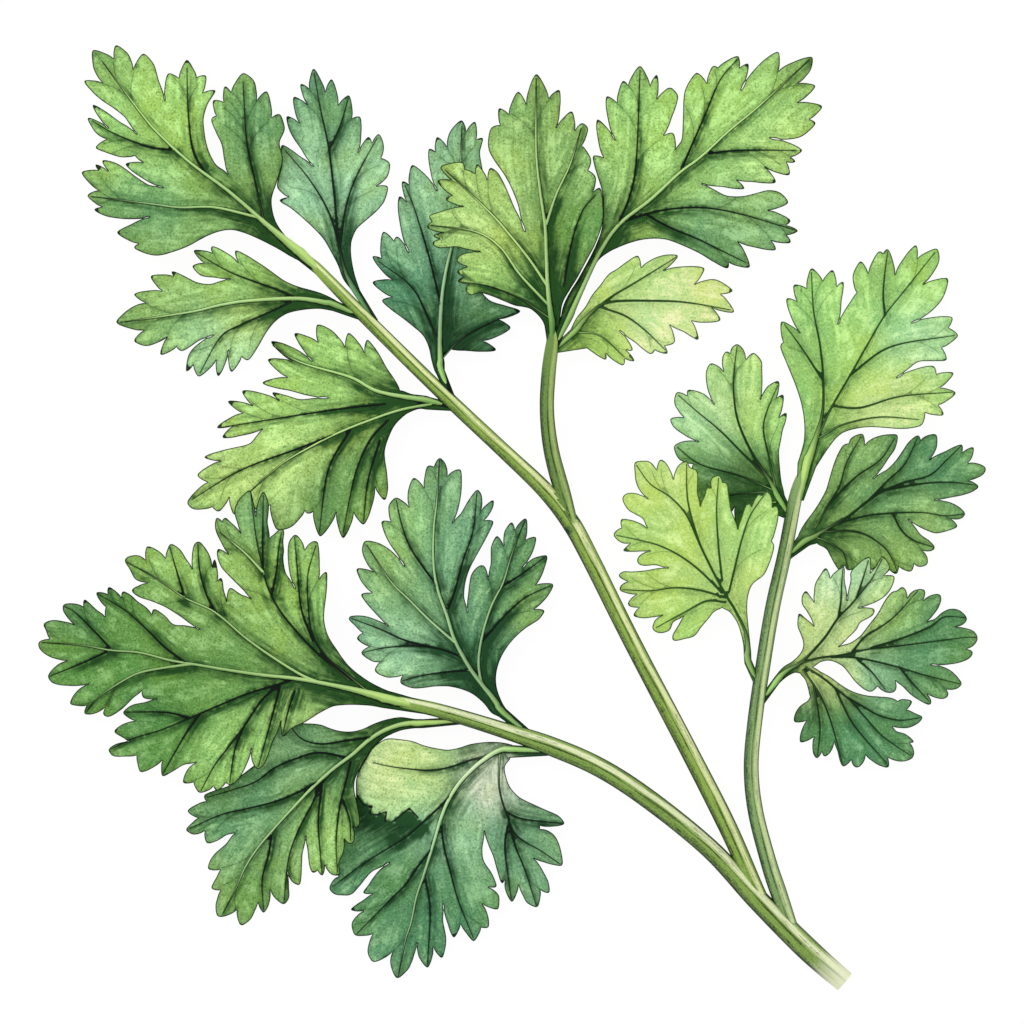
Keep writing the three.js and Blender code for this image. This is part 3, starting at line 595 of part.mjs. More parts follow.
// A solid round stalk along a curve; its underside is flat where it reaches the surface.
function stalkGeometry(rings, extra = 0) {
  const path = new THREE.CatmullRomCurve3(rings.map(([x, y, z]) => new THREE.Vector3(x, y, z)));
  const steps = Math.round(path.getLength() / STALK_STEP);
  const vertices = [];
  for (let i = 0; i <= steps; i++) {
    const share = i / steps;
    const centre = path.getPoint(share);
    const ahead = path.getTangent(share);
    const side = new THREE.Vector3(-ahead.y, ahead.x, 0).normalize();
    const over = new THREE.Vector3().crossVectors(ahead, side);
    const place = share * (rings.length - 1);
    const first = Math.min(Math.floor(place), rings.length - 2);
    const radius = extra + THREE.MathUtils.lerp(rings[first][3], rings[first + 1][3], place - first);
    for (let k = 0; k < STALK_SIDES; k++) {
      const turn = (k + 0.5) * 2 * Math.PI / STALK_SIDES;
      const spot = centre.clone().addScaledVector(side, radius * Math.cos(turn));
      spot.addScaledVector(over, radius * Math.sin(turn));
      vertices.push(spot.x, spot.y, extra ? spot.z : Math.max(0, spot.z));
    }
  }
  const faces = [];
  for (let i = 0; i < steps; i++) {
    for (let k = 0; k < STALK_SIDES; k++) {
      const a = i * STALK_SIDES + k;
      const b = i * STALK_SIDES + (k + 1) % STALK_SIDES;
      faces.push(a, a + STALK_SIDES, b, b, a + STALK_SIDES, b + STALK_SIDES);
    }
  }
  const last = steps * STALK_SIDES;
  for (let k = 1; k < STALK_SIDES - 1; k++) {
    faces.push(0, k, k + 1, last, last + k + 1, last + k);
  }
  return closedGeometry(vertices, faces);
}

// A mesh from plain lists, turned inside out first if its volume comes out negative.
function closedGeometry(vertices, faces) {
  const at = (i) => new THREE.Vector3(vertices[3 * i], vertices[3 * i + 1], vertices[3 * i + 2]);
  let volume = 0;
  for (let f = 0; f < faces.length; f += 3) {
    volume += at(faces[f]).dot(at(faces[f + 1]).cross(at(faces[f + 2])));
  }
  const geometry = new THREE.BufferGeometry();
  geometry.setAttribute('position', new THREE.Float32BufferAttribute(vertices, 3));
  geometry.setIndex(volume < 0 ? faces.reverse() : faces);
  return geometry;
}

// The height of a leaf's middle surface over a sheet place: its arch, its swells and its lifts.
function bladeHeight(leaf, ribs, p) {
  const foot = ribs[0][0];
  const along = new THREE.Vector2().subVectors(ribs[0].at(-1), foot);
  const share = THREE.MathUtils.clamp(
    new THREE.Vector2().subVectors(p, foot).dot(along) / along.lengthSq(), 0, 1);
  const [low, crown, tip] = leaf.heights;
  let height = low * (1 - share) ** 2 + 2 * crown * share * (1 - share) + tip * share ** 2;
  const fromRib = Math.min(...ribs.map((rib) => lineDistance(p, rib)));
  height += PLEAT * (1 - Math.exp(-((fromRib / PLEAT_REACH) ** 2)));
  for (const [x, y, reach, rise] of leaf.lifts) {
    height += rise * Math.exp(-(((p.x - x) ** 2 + (p.y - y) ** 2) / reach ** 2));
  }
  return height;
}

// A leaf blade of even thickness, cut into the same triangles above and below.
function leafGeometry(leaf) {
  const rim = roundedMargin(leaf.margin);
  const ribs = leaf.ribs.map(toVectors);
  const { points, faces } = triangulate(rim, ribPoints(ribs));
  const heights = points.map((p) => Math.max(0, bladeHeight(leaf, ribs, p) - BLADE / 2));
  const vertices = [BLADE, 0].flatMap((rise) => points.flatMap((p, i) => [p.x, p.y, heights[i] + rise]));
  const lower = points.length;
  const skin = faces.flatMap(([a, b, c]) => [a, b, c, lower + a, lower + c, lower + b]);
  rim.forEach((p, i) => {
    const next = (i + 1) % rim.length;
    skin.push(i, lower + i, next, next, lower + i, lower + next);
  });
  return closedGeometry(vertices, skin);
}

function toSolid(geometry) {
  const merged = mergeVertices(geometry);
  return new wasm.Manifold(new wasm.Mesh({
    numProp: 3,
    vertProperties: merged.getAttribute('position').array,
    triVerts: Uint32Array.from(merged.getIndex().array),
  }));
}

function toGeometry(solid) {
  const mesh = solid.getMesh();
  return closedGeometry(Array.from(mesh.vertProperties), Array.from(mesh.triVerts));
}

// The middle and right stalks end where they meet the main stem, a small gap off its surface.
function stalkGeometries() {
  const besideMain = toSolid(stalkGeometry(STALKS.main, GAP));
  const besideMiddle = toSolid(stalkGeometry(STALKS.middle, GAP));
  const middle = toSolid(stalkGeometry(STALKS.middle)).add(toSolid(stalkGeometry(STALKS.branch)));
  const right = toSolid(stalkGeometry(STALKS.right));
  return {
    main_stem: [stalkGeometry(STALKS.main), '#a9c24a'],
    middle_stalk: [toGeometry(middle.subtract(besideMain)), '#9dbb45'],
    right_stalk: [toGeometry(right.subtract(besideMain).subtract(besideMiddle)), '#8db45c'],
  };
}

function addPiece(sheet, name, geometry, colour) {
  const material = new THREE.MeshStandardMaterial({ color: colour, roughness: 0.7, metalness: 0 });
  const piece = new THREE.Mesh(geometry, material);
  piece.name = name;
  sheet.add(piece);
}

const sheet = new THREE.Group();
for (const [name, [geometry, colour]] of Object.entries(stalkGeometries())) {
  addPiece(sheet, name, geometry, colour);
}
for (const [name, leaf] of Object.entries(LEAVES)) {
  addPiece(sheet, name, leafGeometry(leaf), leaf.colour);
}
const middle = new THREE.Box3().setFromObject(sheet).getCenter(new THREE.Vector3());
sheet.position.set(-middle.x, -middle.y, 0);

const bunch = new THREE.Group();
bunch.add(sheet);
export default bunch;
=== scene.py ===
import math

import bmesh
import bpy
import numpy as np
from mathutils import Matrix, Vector
from mathutils.bvhtree import BVHTree
from mathutils.geometry import delaunay_2d_cdt


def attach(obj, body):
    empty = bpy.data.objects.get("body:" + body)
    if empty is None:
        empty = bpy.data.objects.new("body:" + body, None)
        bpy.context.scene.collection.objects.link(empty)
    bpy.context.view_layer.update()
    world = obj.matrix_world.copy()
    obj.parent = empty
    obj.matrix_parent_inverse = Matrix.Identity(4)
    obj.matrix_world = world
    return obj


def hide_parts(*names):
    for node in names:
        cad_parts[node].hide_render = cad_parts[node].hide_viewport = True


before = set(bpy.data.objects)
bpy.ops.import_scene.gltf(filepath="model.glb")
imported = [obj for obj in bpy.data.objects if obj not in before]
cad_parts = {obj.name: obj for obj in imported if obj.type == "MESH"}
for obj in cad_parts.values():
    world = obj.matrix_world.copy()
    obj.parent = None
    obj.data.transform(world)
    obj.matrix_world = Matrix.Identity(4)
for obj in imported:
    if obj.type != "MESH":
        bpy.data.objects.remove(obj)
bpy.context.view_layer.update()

# The camera looks straight down on the bunch, which lies flat. Its long lens keeps
# the leaf tips at the edges as flat as those in the middle.
MM = 0.001
SHEET_CENTRE = (81.95, 81.1)  # the layout sheet's point over the origin, mm
VIEW_CENTRE = (81.92, 81.92)  # the sheet's point in the middle of the view, mm
VIEW_WIDTH = 163.84 * MM
LENS = 300.0
SENSOR = 36.0
LEAF_LEVEL = 3.0 * MM


def on_sheet(x, y):
    """A place on the layout sheet, in mm, as x and y in the bunch's own frame."""
    return (x - SHEET_CENTRE[0]) * MM, (y - SHEET_CENTRE[1]) * MM


def put_in_scene(name, data):
    piece = bpy.data.objects.new(name, data)
    bpy.context.collection.objects.link(piece)
    return piece


camera_data = bpy.data.cameras.new("camera")
camera_data.lens = LENS
camera_data.sensor_width = SENSOR
camera_data.clip_end = 10.0
camera = put_in_scene("camera", camera_data)
camera.location = (*on_sheet(*VIEW_CENTRE), LEAF_LEVEL + VIEW_WIDTH * LENS / SENSOR)
bpy.context.scene.camera = camera
bpy.context.scene.view_settings.view_transform = "Standard"

# The table: a plain white sheet under the bunch, lit a little from below like a light
# box, so that shadows on it stay faint. It is not part of the bunch.
TABLE_SIZE = 3.0
TABLE_GLOW = 0.94
TABLE_DROP = 0.05  # how far the table lies under the bunch's lowest point, mm
table_sheet = bmesh.new()
bmesh.ops.create_grid(table_sheet, x_segments=1, y_segments=1, size=TABLE_SIZE / 2)
bmesh.ops.translate(table_sheet, verts=table_sheet.verts, vec=(0, 0, -TABLE_DROP * MM))
table_mesh = bpy.data.meshes.new("table")
table_sheet.to_mesh(table_mesh)
table_sheet.free()
table_material = bpy.data.materials.new("table_white")
table_material.use_nodes = True
table_shader = table_material.node_tree.nodes["Principled BSDF"]
table_shader.inputs["Base Color"].default_value = (0.06, 0.06, 0.06, 1)
table_shader.inputs["Roughness"].default_value = 0.9
table_shader.inputs["Emission Color"].default_value = (1, 1, 1, 1)
table_shader.inputs["Emission Strength"].default_value = TABLE_GLOW
table_mesh.materials.append(table_material)
table = put_in_scene("table", table_mesh)

# Light: a bright, even sky, and one large soft lamp from the upper left that
# gives the ribs and stalks a faint light and dark side.
SKY_STRENGTH = 0.82
LAMP_PLACE = (-0.7, 0.6, 1.0)
LAMP_POWER = 5.0
world = bpy.data.worlds.new("sky")
world.use_nodes = True
background = world.node_tree.nodes["Background"]
background.inputs["Color"].default_value = (1, 1, 1, 1)
background.inputs["Strength"].default_value = SKY_STRENGTH
bpy.context.scene.world = world
lamp_data = bpy.data.lights.new("soft_lamp", "AREA")
lamp_data.size = 0.8
lamp_data.energy = LAMP_POWER
lamp = put_in_scene("soft_lamp", lamp_data)
lamp.location = LAMP_PLACE
lamp.rotation_euler = Vector(LAMP_PLACE).to_track_quat("Z", "Y").to_euler()

# The three stalks are round, solid and juicy, with fine streaks along them and a side
# branch on the middle one. Each is a ring pulled along its centre line, thick at the
# cut foot, where the flesh is pale, and thin where it runs out into its last leaf.
STALK_STEP = 1.2  # spacing of the rings, mm
STALK_ROUNDING = 12
TABLE_CLEAR = 0.02  # lowest point of a stalk above the table, mm
STALKS = {  # rows of x, y, height of the centre and radius, mm
    "main_stem": [
        [(135.2, 6.7, 1.45, 1.75), (132.0, 9.4, 1.5, 1.85), (128.0, 13.1, 1.52, 1.9),
         (121.0, 20.1, 1.6, 1.75), (113.6, 28.0, 1.9, 1.6), (104.0, 35.8, 2.3, 1.6),
         (96.0, 41.0, 2.6, 1.58), (88.0, 44.5, 2.8, 1.55), (80.0, 47.2, 3.0, 1.3),
         (70.4, 50.1, 3.2, 1.15), (64.4, 51.5, 3.4, 1.0), (61.6, 52.2, 3.4, 0.5)]],
    "middle_stalk": [
        [(123.2, 18.4, 1.6, 1.2), (121.6, 20.2, 1.7, 1.3), (116.4, 31.6, 2.0, 1.5),
         (110.2, 43.8, 2.6, 1.45), (101.0, 61.4, 3.0, 1.42), (94.6, 74.2, 3.2, 1.45),
         (91.2, 80.4, 3.3, 1.5), (87.0, 85.6, 3.3, 1.35), (80.6, 91.7, 3.3, 1.2),
         (70.4, 101.3, 3.3, 1.15), (57.6, 113.9, 3.1, 1.05), (50.5, 121.2, 3.0, 0.85),
         (48.6, 123.0, 3.0, 0.4)],
        [(91.6, 79.6, 3.4, 1.0), (90.0, 85.0, 3.5, 1.3), (88.2, 91.8, 3.5, 1.25),
         (87.5, 98.2, 3.5, 1.15), (87.8, 104.4, 3.5, 1.15), (88.4, 109.2, 3.5, 1.0),
         (88.5, 111.4, 3.5, 0.45)]],
    "right_stalk": [
        [(128.2, 12.9, 1.5, 1.0), (127.1, 14.1, 1.6, 1.1), (124.6, 21.0, 1.9, 1.35),
         (122.9, 26.2, 2.1, 1.3), (120.9, 34.0, 2.3, 1.25), (120.2, 41.0, 2.5, 1.2),
         (120.8, 48.5, 2.6, 1.2), (122.2, 58.1, 2.6, 1.2), (123.7, 67.0, 2.5, 1.2),
         (125.6, 75.4, 2.4, 1.15), (127.2, 83.8, 2.4, 1.1), (128.2, 87.2, 2.5, 0.95),
         (128.9, 89.3, 2.6, 0.45)]],
}
STALK_LIT_AND_SHADED = {  # slot, then for each line the skin's colours: a painted highlight, its middle green and a painted shade, which also darkens its rims and streaks
    "main_stem": ("pale_stem", ["#e8f0c0", "#88a850", "#102818"]),
    "middle_stalk": ("green_stalk", ["#e8f0b0", "#90b050", "#183018"],
                     ["#a8c070", "#709048", "#102818"]),
    "right_stalk": ("green_stalk", ["#d0e0a0", "#88a868", "#183828"]),
}
CUT_FLESH = "#eef2cf"
CUT_RUN = 7.0  # the pale flesh shows this far up from the cut, mm
RUN_OUT = 8.0  # a stalk loses its painted shade and dark rims over its last mm


class Value:
    """A shader node's output that adds, multiplies and mixes as a number does."""
    tree = None

    def __init__(self, socket):
        self.socket = socket

    @classmethod
    def node(cls, kind, inputs, output=0, **settings):
        """A node of one kind; inputs holds its sockets' values or links."""
        made = cls.tree.nodes.new("ShaderNode" + kind)
        for name, setting in settings.items():
            setattr(made, name, setting)
        for key, given in inputs.items():
            if isinstance(given, Value):
                cls.tree.links.new(given.socket, made.inputs[key])
            else:
                made.inputs[key].default_value = given
        return cls(made.outputs[output])

    def math(self, operation, other=0.0):
        return Value.node("Math", {0: self, 1: other}, operation=operation)

    def __add__(self, other):
        return self.math("ADD", other)

    def __mul__(self, other):
        return self.math("MULTIPLY", other)

    def __sub__(self, other):
        return self.math("SUBTRACT", other)

    def __rsub__(self, other):
        return (self * -1.0) + other

    def __abs__(self):
        return self.math("ABSOLUTE")

    def __or__(self, other):
        return self.math("MAXIMUM", other)

    __radd__ = __add__
    __rmul__ = __mul__

    def ramp(self, start, end):
        """0 where the value is at start or before it, 1 at end, smooth between."""
        return Value.node("MapRange", {0: self, 1: start, 2: end, 3: 0.0, 4: 1.0},
                          interpolation_type="SMOOTHSTEP")

    def blend(self, colour_a, colour_b):
        """Colour a where the value is 0, colour b where it is 1."""
        return Value.node("Mix", {0: self, 6: colour_a, 7: colour_b}, 2,
                          data_type="RGBA")


def attribute(name):
    return Value.node("Attribute", {}, 2, attribute_name=name)


def colours_of(name):
    return Value.node("Attribute", {}, 0, attribute_name=name)


def cloud(size, detail=3.0):
    """Soft noise with spots of about that size, in metres, fixed to the piece."""
    return Value.node("TexNoise",
                      {"Vector": Value.node("TexCoord", {}, 3),
                       "Scale": 1.0 / size, "Detail": detail})


def paint(code):
    """An sRGB hex code as a linear colour with alpha."""
    parts = [int(code[i:i + 2], 16) / 255 for i in (1, 3, 5)]
    return (*(c / 12.92 if c < 0.04045 else ((c + 0.055) / 1.055) ** 2.4
              for c in parts), 1.0)


def new_material(name, roughness, shine):
    """A material and its main shader; shader expressions now build in its tree."""
    material = bpy.data.materials.new(name)
    material.use_nodes = True
    Value.tree = material.node_tree
    shader = material.node_tree.nodes["Principled BSDF"]
    shader.inputs["Roughness"].default_value = roughness
    shader.inputs["Specular IOR Level"].default_value = shine
    return material, shader


def feed(shader, socket, value):
    Value.tree.links.new(value.socket, shader.inputs[socket])


# The stalk skin's colour holds painted light: a pale highlight streak on the lamp's side and painted
# shade over the far side, with dark rims at both edges.
stalk_material, stalk_shader = new_material("stalk_skin", 0.6, 0.15)
along = attribute("along")
across = attribute("across")  # from -1 on the lit side to 1 on the dark side
fibre = Value.node("TexNoise",
                   {"Vector": Value.node("CombineXYZ",
                                         {0: along * 0.07, 1: across * 3.2}),
                    "Scale": 1.0, "Detail": 5.0}) - 0.5
sway = Value.node("TexNoise",
                  {"Vector": Value.node("CombineXYZ", {0: along * 0.05}),
                   "Scale": 1.0, "Detail": 1.0}) - 0.5
runs_out = attribute("runs_out")
stalk_grain = cloud(0.3 * MM, 2.0) - 0.5
turn = across + fibre * 0.6 + sway * 0.5
# a painted highlight: a pale streak along the stalk's lit side
painted_highlight_streak = turn.ramp(-0.8, -0.6) * turn.ramp(-0.05, -0.35)
# painted shade over the stalk's side away from the lamp
painted_shade_side = (turn + stalk_grain * 0.4).ramp(0.2, 0.95)
rims = (abs(across) + fibre * 0.25).ramp(0.78, 0.97) * (1.0 - runs_out)
streaks = abs(fibre).ramp(0.02, 0.0) * 0.6 + abs(turn).ramp(0.1, 0.02) * 0.7
stalk_colour = painted_highlight_streak.blend(colours_of("mid"), colours_of("pale"))
shadow = (painted_shade_side * 0.7 + streaks) * (1.0 - runs_out) + stalk_grain * 0.9
stalk_colour = shadow.blend(stalk_colour, colours_of("deep"))
stalk_colour = rims.blend(stalk_colour, colours_of("deep"))
cut_end = (along + fibre * 8.0).ramp(CUT_RUN, 0.0) * 0.85
stalk_colour = (cut_end * attribute("has_cut")).blend(stalk_colour, paint(CUT_FLESH))
feed(stalk_shader, "Base Color", stalk_colour)


def smooth_line(points, step):
    """Points along a rounded line through the given ones, about step apart."""
    points = np.array(points, float)
    ends = np.vstack([2 * points[0] - points[1], points, 2 * points[-1] - points[-2]])
    line = []
    for a, b, c, d in zip(ends, ends[1:], ends[2:], ends[3:]):
        count = max(1, round(np.linalg.norm((c - b)[:2]) / step))
        for t in np.arange(count) / count:
            line.append(0.5 * (2 * b + (c - a) * t + (2 * a - 5 * b + 4 * c - d) * t ** 2
                               + (3 * b - a - 3 * c + d) * t ** 3))
    line.append(points[-1])
    return np.array(line)


def tube_mesh(name, lines, rounding):
    """Round tubes along lines of x, y, z and radius in mm, closed at both ends."""
    curve = bpy.data.curves.new(name, "CURVE")
    curve.dimensions = "3D"
    curve.bevel_depth = MM
    curve.bevel_resolution = rounding
    curve.use_fill_caps = True
    for line in lines:
        spline = curve.splines.new("POLY")
        spline.points.add(len(line) - 1)
        for point, (x, y, z, radius) in zip(spline.points, line):
            point.co = (*on_sheet(x, y), z * MM, 1)
            point.radius = radius
    holder = put_in_scene(name, curve)
    bpy.context.view_layer.update()
    mesh = bpy.data.meshes.new_from_object(
        holder.evaluated_get(bpy.context.evaluated_depsgraph_get()))
    bpy.data.objects.remove(holder)
    return mesh


def sheet_places(mesh):
    """Every vertex's x, y and z on the layout sheet, in mm."""
    places = np.empty(len(mesh.vertices) * 3)
    mesh.vertices.foreach_get("co", places)
    return places.reshape(-1, 3) / MM + (*SHEET_CENTRE, 0)


def set_attribute(mesh, name, values):
    layer = mesh.attributes.new(name, "FLOAT", "POINT")
    layer.data.foreach_set("value", np.asarray(values, np.float32))


def set_colours(mesh, name, colours):
    layer = mesh.attributes.new(name, "FLOAT_COLOR", "POINT")
    rgba = np.hstack([colours, np.ones((len(colours), 1))])
    layer.data.foreach_set("color", rgba.astype(np.float32).ravel())


def nearest_on_line(points, line):
    """Distance from each point to a line, and the place on it, counted in segments."""
    a, b = line[:-1, :2], line[1:, :2]
    ahead = b - a
    length2 = np.maximum((ahead ** 2).sum(1), 1e-12)
    best = np.full(len(points), np.inf)
    place = np.zeros(len(points))
    for start in range(0, len(points), 2000):
        part = points[start:start + 2000, None, :]
        share = np.clip(((part - a) * ahead).sum(2) / length2, 0, 1)
        away = np.linalg.norm(part - (a + share[..., None] * ahead), axis=2)
        pick = away.argmin(1)
        rows = np.arange(len(pick))
        best[start:start + 2000] = away[rows, pick]
        place[start:start + 2000] = pick + share[rows, pick]
    return best, place


def at_place(line, place):
    """The line's own values at places counted in its segments."""
    low = np.minimum(place.astype(int), len(line) - 2)
    share = (place - low)[:, None]
    return line[low] * (1 - share) + line[low + 1] * share


def side_of_line(points, line, place):
    """1 for points to the left of the line at their places on it, -1 to the right."""
    here = at_place(line, place)[:, :2]
    ahead = (at_place(line, np.minimum(place + 0.5, len(line) - 1.0))
             - at_place(line, np.maximum(place - 0.5, 0)))[:, :2]
    off = points - here
    return np.sign(ahead[:, 0] * off[:, 1] - ahead[:, 1] * off[:, 0])


def add_piece(name, mesh, materials):
    for material in materials:
        mesh.materials.append(material)
    mesh.shade_smooth()
    return put_in_scene(name, mesh)


for name, rows in STALKS.items():
    lines = [smooth_line(line, STALK_STEP) for line in rows]
    mesh = tube_mesh(name, lines, STALK_ROUNDING)
    places = sheet_places(mesh)
    found = [nearest_on_line(places[:, :2], line) for line in lines]
    which = np.argmin([away for away, _ in found], axis=0)
    # each line's painted highlight, middle and painted shade colours
    slot, *lit_mid_shaded = STALK_LIT_AND_SHADED[name]
    along_values, across_values = np.zeros(len(places)), np.zeros(len(places))
    runs_out_values, skin = np.zeros(len(places)), np.zeros((len(places), 3, 3))
    for i, (line, (away, place)) in enumerate(zip(lines, found)):
        own = which == i
        side = side_of_line(places[:, :2], line, place)
        along_values[own] = (place * STALK_STEP)[own]
        across_values[own] = (side * away / at_place(line, place)[:, -1])[own]
        to_end = (len(line) - 1 - place) * STALK_STEP
        runs_out_values[own] = np.exp(-(to_end / RUN_OUT) ** 4)[own]
        skin[own] = [paint(code)[:3] for code in lit_mid_shaded[i]]
    set_attribute(mesh, "along", along_values)
    set_attribute(mesh, "across", np.clip(across_values, -1, 1))
    set_attribute(mesh, "runs_out", runs_out_values)
    set_attribute(mesh, "has_cut", np.full(len(places), float(name == "main_stem")))
    for layer, colours in zip(("pale", "mid", "deep"), skin.transpose(1, 0, 2)):
        set_colours(mesh, layer, colours)
    places[:, 2] = np.maximum(places[:, 2], TABLE_CLEAR)
    mesh.vertices.foreach_set("co", ((places - (*SHEET_CENTRE, 0)) * MM).ravel())
    stalk = add_piece(name + "_skin", mesh, [stalk_material])
    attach(stalk, "root")
    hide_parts(name)


# The middle stalk's leaves are thin, flat and deeply cut, with a pale midrib that forks
# into every lobe and runs down a short foot into the stalk. Each is a sheet cut along
# its margin and ribs, with ribs pulled over it. Three of them sit on the side branch.
SKIN = 0.3  # thickness of a blade, mm
SKIN_DROP = 0.12  # how far its upper face lies under the solid blade's
GRID = 0.5  # spacing of the mesh inside a leaf
MARGIN_STEP = 0.38  # spacing of the mesh along a leaf's margin
MARGIN_CLEAR = 0.3  # grid points stay this far from the margin
LINE_CLEAR = 0.24  # and this far from ribs and veins
SMOOTHINGS = 10
CORNER_TURN = 0.7  # a margin point that turns more than this is a tip or a notch
TOOTH_SWELL = 0.28  # how far a tooth's side turns outward at its ends, in radians
RIB_TIP = 0.04  # radius of a rib at its tip
NECK_RUN = 8.0  # a foot runs out up its leaf over this many times its own radius
TAPER = 0.6  # half width of the blade where it runs out on the stalk
FOOT_REACH = 3.2  # the margin is redrawn this near to the foot, mm
FOOT_AHEAD = 0.9  # from this far up the leaf, mm
LAMP_SIDE = (-0.7, 0.7)  # where on the sheet the light comes from
VEIN_SPREAD = 48  # most that a fine vein turns away from its rib, in degrees
VEIN_SLANT = 28  # the turn that looks best, in degrees
SLANT_COST = 0.35  # mm that a vein may be longer to come a degree nearer to it
VEIN_LONGEST, VEIN_SHORTEST = 9.0, 1.5
VEIN_CLEAR = 1.6  # a tooth this near to a rib's end needs no vein of its own, mm
RIB_FEET = {True: (0.4, 0.25), False: (0.16, 0.11)}  # radius of a first, other rib
RIDGE_LIFT = 0.12  # share of its radius that a rib stands above the blade
GREENS = {  # the few greens that every leaf is washed with; shade paints the shadow under a neighbour leaf
    "cream": "#f0f8d8", "straw": "#d8f0a0", "lime": "#b8d878", "mint": "#a8d8a8",
    "fresh": "#a0d070", "grass": "#88b060", "sea": "#78a878", "moss": "#508838",
    "fern": "#508858", "teal": "#388060", "bottle": "#407848", "shade": "#204828",
}
LOBE_SHARE = 0.7  # a lobe's own green is strongest at this share of its rib
LOBE_REACH = 3.0  # and reaches this far, mm, and further on a long rib
LOBE_SPREAD = 0.06  # more reach for each point of the rib's line, mm
BASE_WEIGHT = 0.3  # how much of the leaf's own green shows under its lobes' greens
# strengths of the painted shade at a leaf's foot, margin, fine veins and under a fold
FOOT_SHADE, EDGE_SHADE, VEIN_SHADE, FOLD_SHADE = 0.6, 0.22, 0.18, 1.4
FLOW_APART = 61  # keeps the brush marks of one rib unlike those of the next
NO_LINE = 9.0  # a gap this wide means that no vein or fold is near, mm


def turned(direction, angle):
    c, s = np.cos(angle), np.sin(angle)
    return np.stack([direction[..., 0] * c - direction[..., 1] * s,
                     direction[..., 0] * s + direction[..., 1] * c], -1)


def fade(away, reach):
    """1 on the line or place itself, fading out over about that reach."""
    return np.exp(-(away / reach) ** 2)


def green(name):
    return np.array(paint(GREENS[name])[:3])


def unit(v):
    return v / np.maximum(np.linalg.norm(v, axis=-1, keepdims=True), 1e-9)


def solid_blade(node):
    """The rim of a solid leaf's upper face, counter-clockwise, and a tree for heights."""
    solid = bmesh.new()
    solid.from_mesh(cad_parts[node].data)
    bmesh.ops.remove_doubles(solid, verts=solid.verts, dist=0.002 * MM)
    solid.normal_update()
    upper = {f for f in solid.faces if f.normal.z > 0.05}
    follows = {}
    for f in upper:
        for corner in f.loops:
            if corner.link_loop_radial_next.face not in upper:
                follows[corner.vert.index] = corner.link_loop_next.vert.index
    solid.verts.ensure_lookup_table()
    order = [next(iter(follows))]
    while follows[order[-1]] != order[0]:
        order.append(follows[order[-1]])
    rim = np.array([solid.verts[i].co for i in order]) / MM + (*SHEET_CENTRE, 0)
    tree = BVHTree.FromBMesh(solid)
    solid.free()
    return rim, tree


def toothed_margin(rim):
    """The rim with swelling tooth sides and sharp notches, and its tooth tips."""
    points = rim[:, :2]
    ahead = np.roll(points, -1, 0) - points
    behind = np.roll(ahead, 1, 0)
    turn = np.arctan2(behind[:, 0] * ahead[:, 1] - behind[:, 1] * ahead[:, 0],
                      (behind * ahead).sum(1))
    corner = np.abs(turn) > CORNER_TURN
    smooth = unit(ahead + behind)
    length = np.linalg.norm(ahead, axis=1, keepdims=True)
    leave = np.where(corner[:, None], turned(unit(ahead), -TOOTH_SWELL), smooth)
    arrive = np.where(np.roll(corner, -1)[:, None], turned(unit(ahead), TOOTH_SWELL),
                      np.roll(smooth, -1, 0))
    margin, tips = [], []
    for i, start in enumerate(points):
        end = points[(i + 1) % len(points)]
        count = max(1, math.ceil(length[i, 0] / MARGIN_STEP))
        if corner[i] and turn[i] > 0:
            tips.append(len(margin))
        for t in np.arange(count) / count:
            margin.append((2 * t**3 - 3 * t**2 + 1) * start + (3 * t**2 - 2 * t**3) * end
                          + (t**3 - 2 * t**2 + t) * length[i] * leave[i]
                          + (t**3 - t**2) * length[i] * arrive[i])
    margin = np.array(margin)
    sharp = margin[tips].copy()
    middle = (np.roll(margin, 1, 0) + np.roll(margin, -1, 0)) / 2
    margin[tips] = (margin[tips] + middle[tips]) / 2
    return margin, sharp


def tapered_foot(margin, foot, joint):
    """The margin with the blade's blunt foot drawn out to a thin end at its joint."""
    foot, joint = np.array(foot), np.array(joint[:2])
    ahead = unit(joint - foot)
    side = np.array([-ahead[1], ahead[0]])
    off = margin - foot
    beyond = (off @ ahead > -FOOT_AHEAD) & (np.linalg.norm(off, axis=1) < FOOT_REACH)
    left = [i for i in np.flatnonzero(beyond) if off[i] @ side > 0]
    right = [i for i in np.flatnonzero(beyond) if off[i] @ side <= 0]
    if not left or not right:
        return margin
    first = max(right, key=lambda i: off[i] @ -ahead)
    last = max(left, key=lambda i: off[i] @ -ahead)
    kept = np.arange(last, last + len(margin)) % len(margin)
    kept = kept[:list(kept).index(first) + 1]
    end = [joint - side * TAPER, joint + side * TAPER]
    return np.vstack([margin[kept], end])


def inside(points, margin):
    """Which points lie inside the margin, by counting its crossings to one side."""
    x, y = points.T
    odd = np.zeros(len(points), bool)
    for (ax, ay), (bx, by) in zip(margin, np.roll(margin, -1, 0)):
        if ay == by:
            continue
        crosses = (ay > y) != (by > y)
        odd ^= crosses & (x > ax + (y - ay) * (bx - ax) / (by - ay))
    return odd


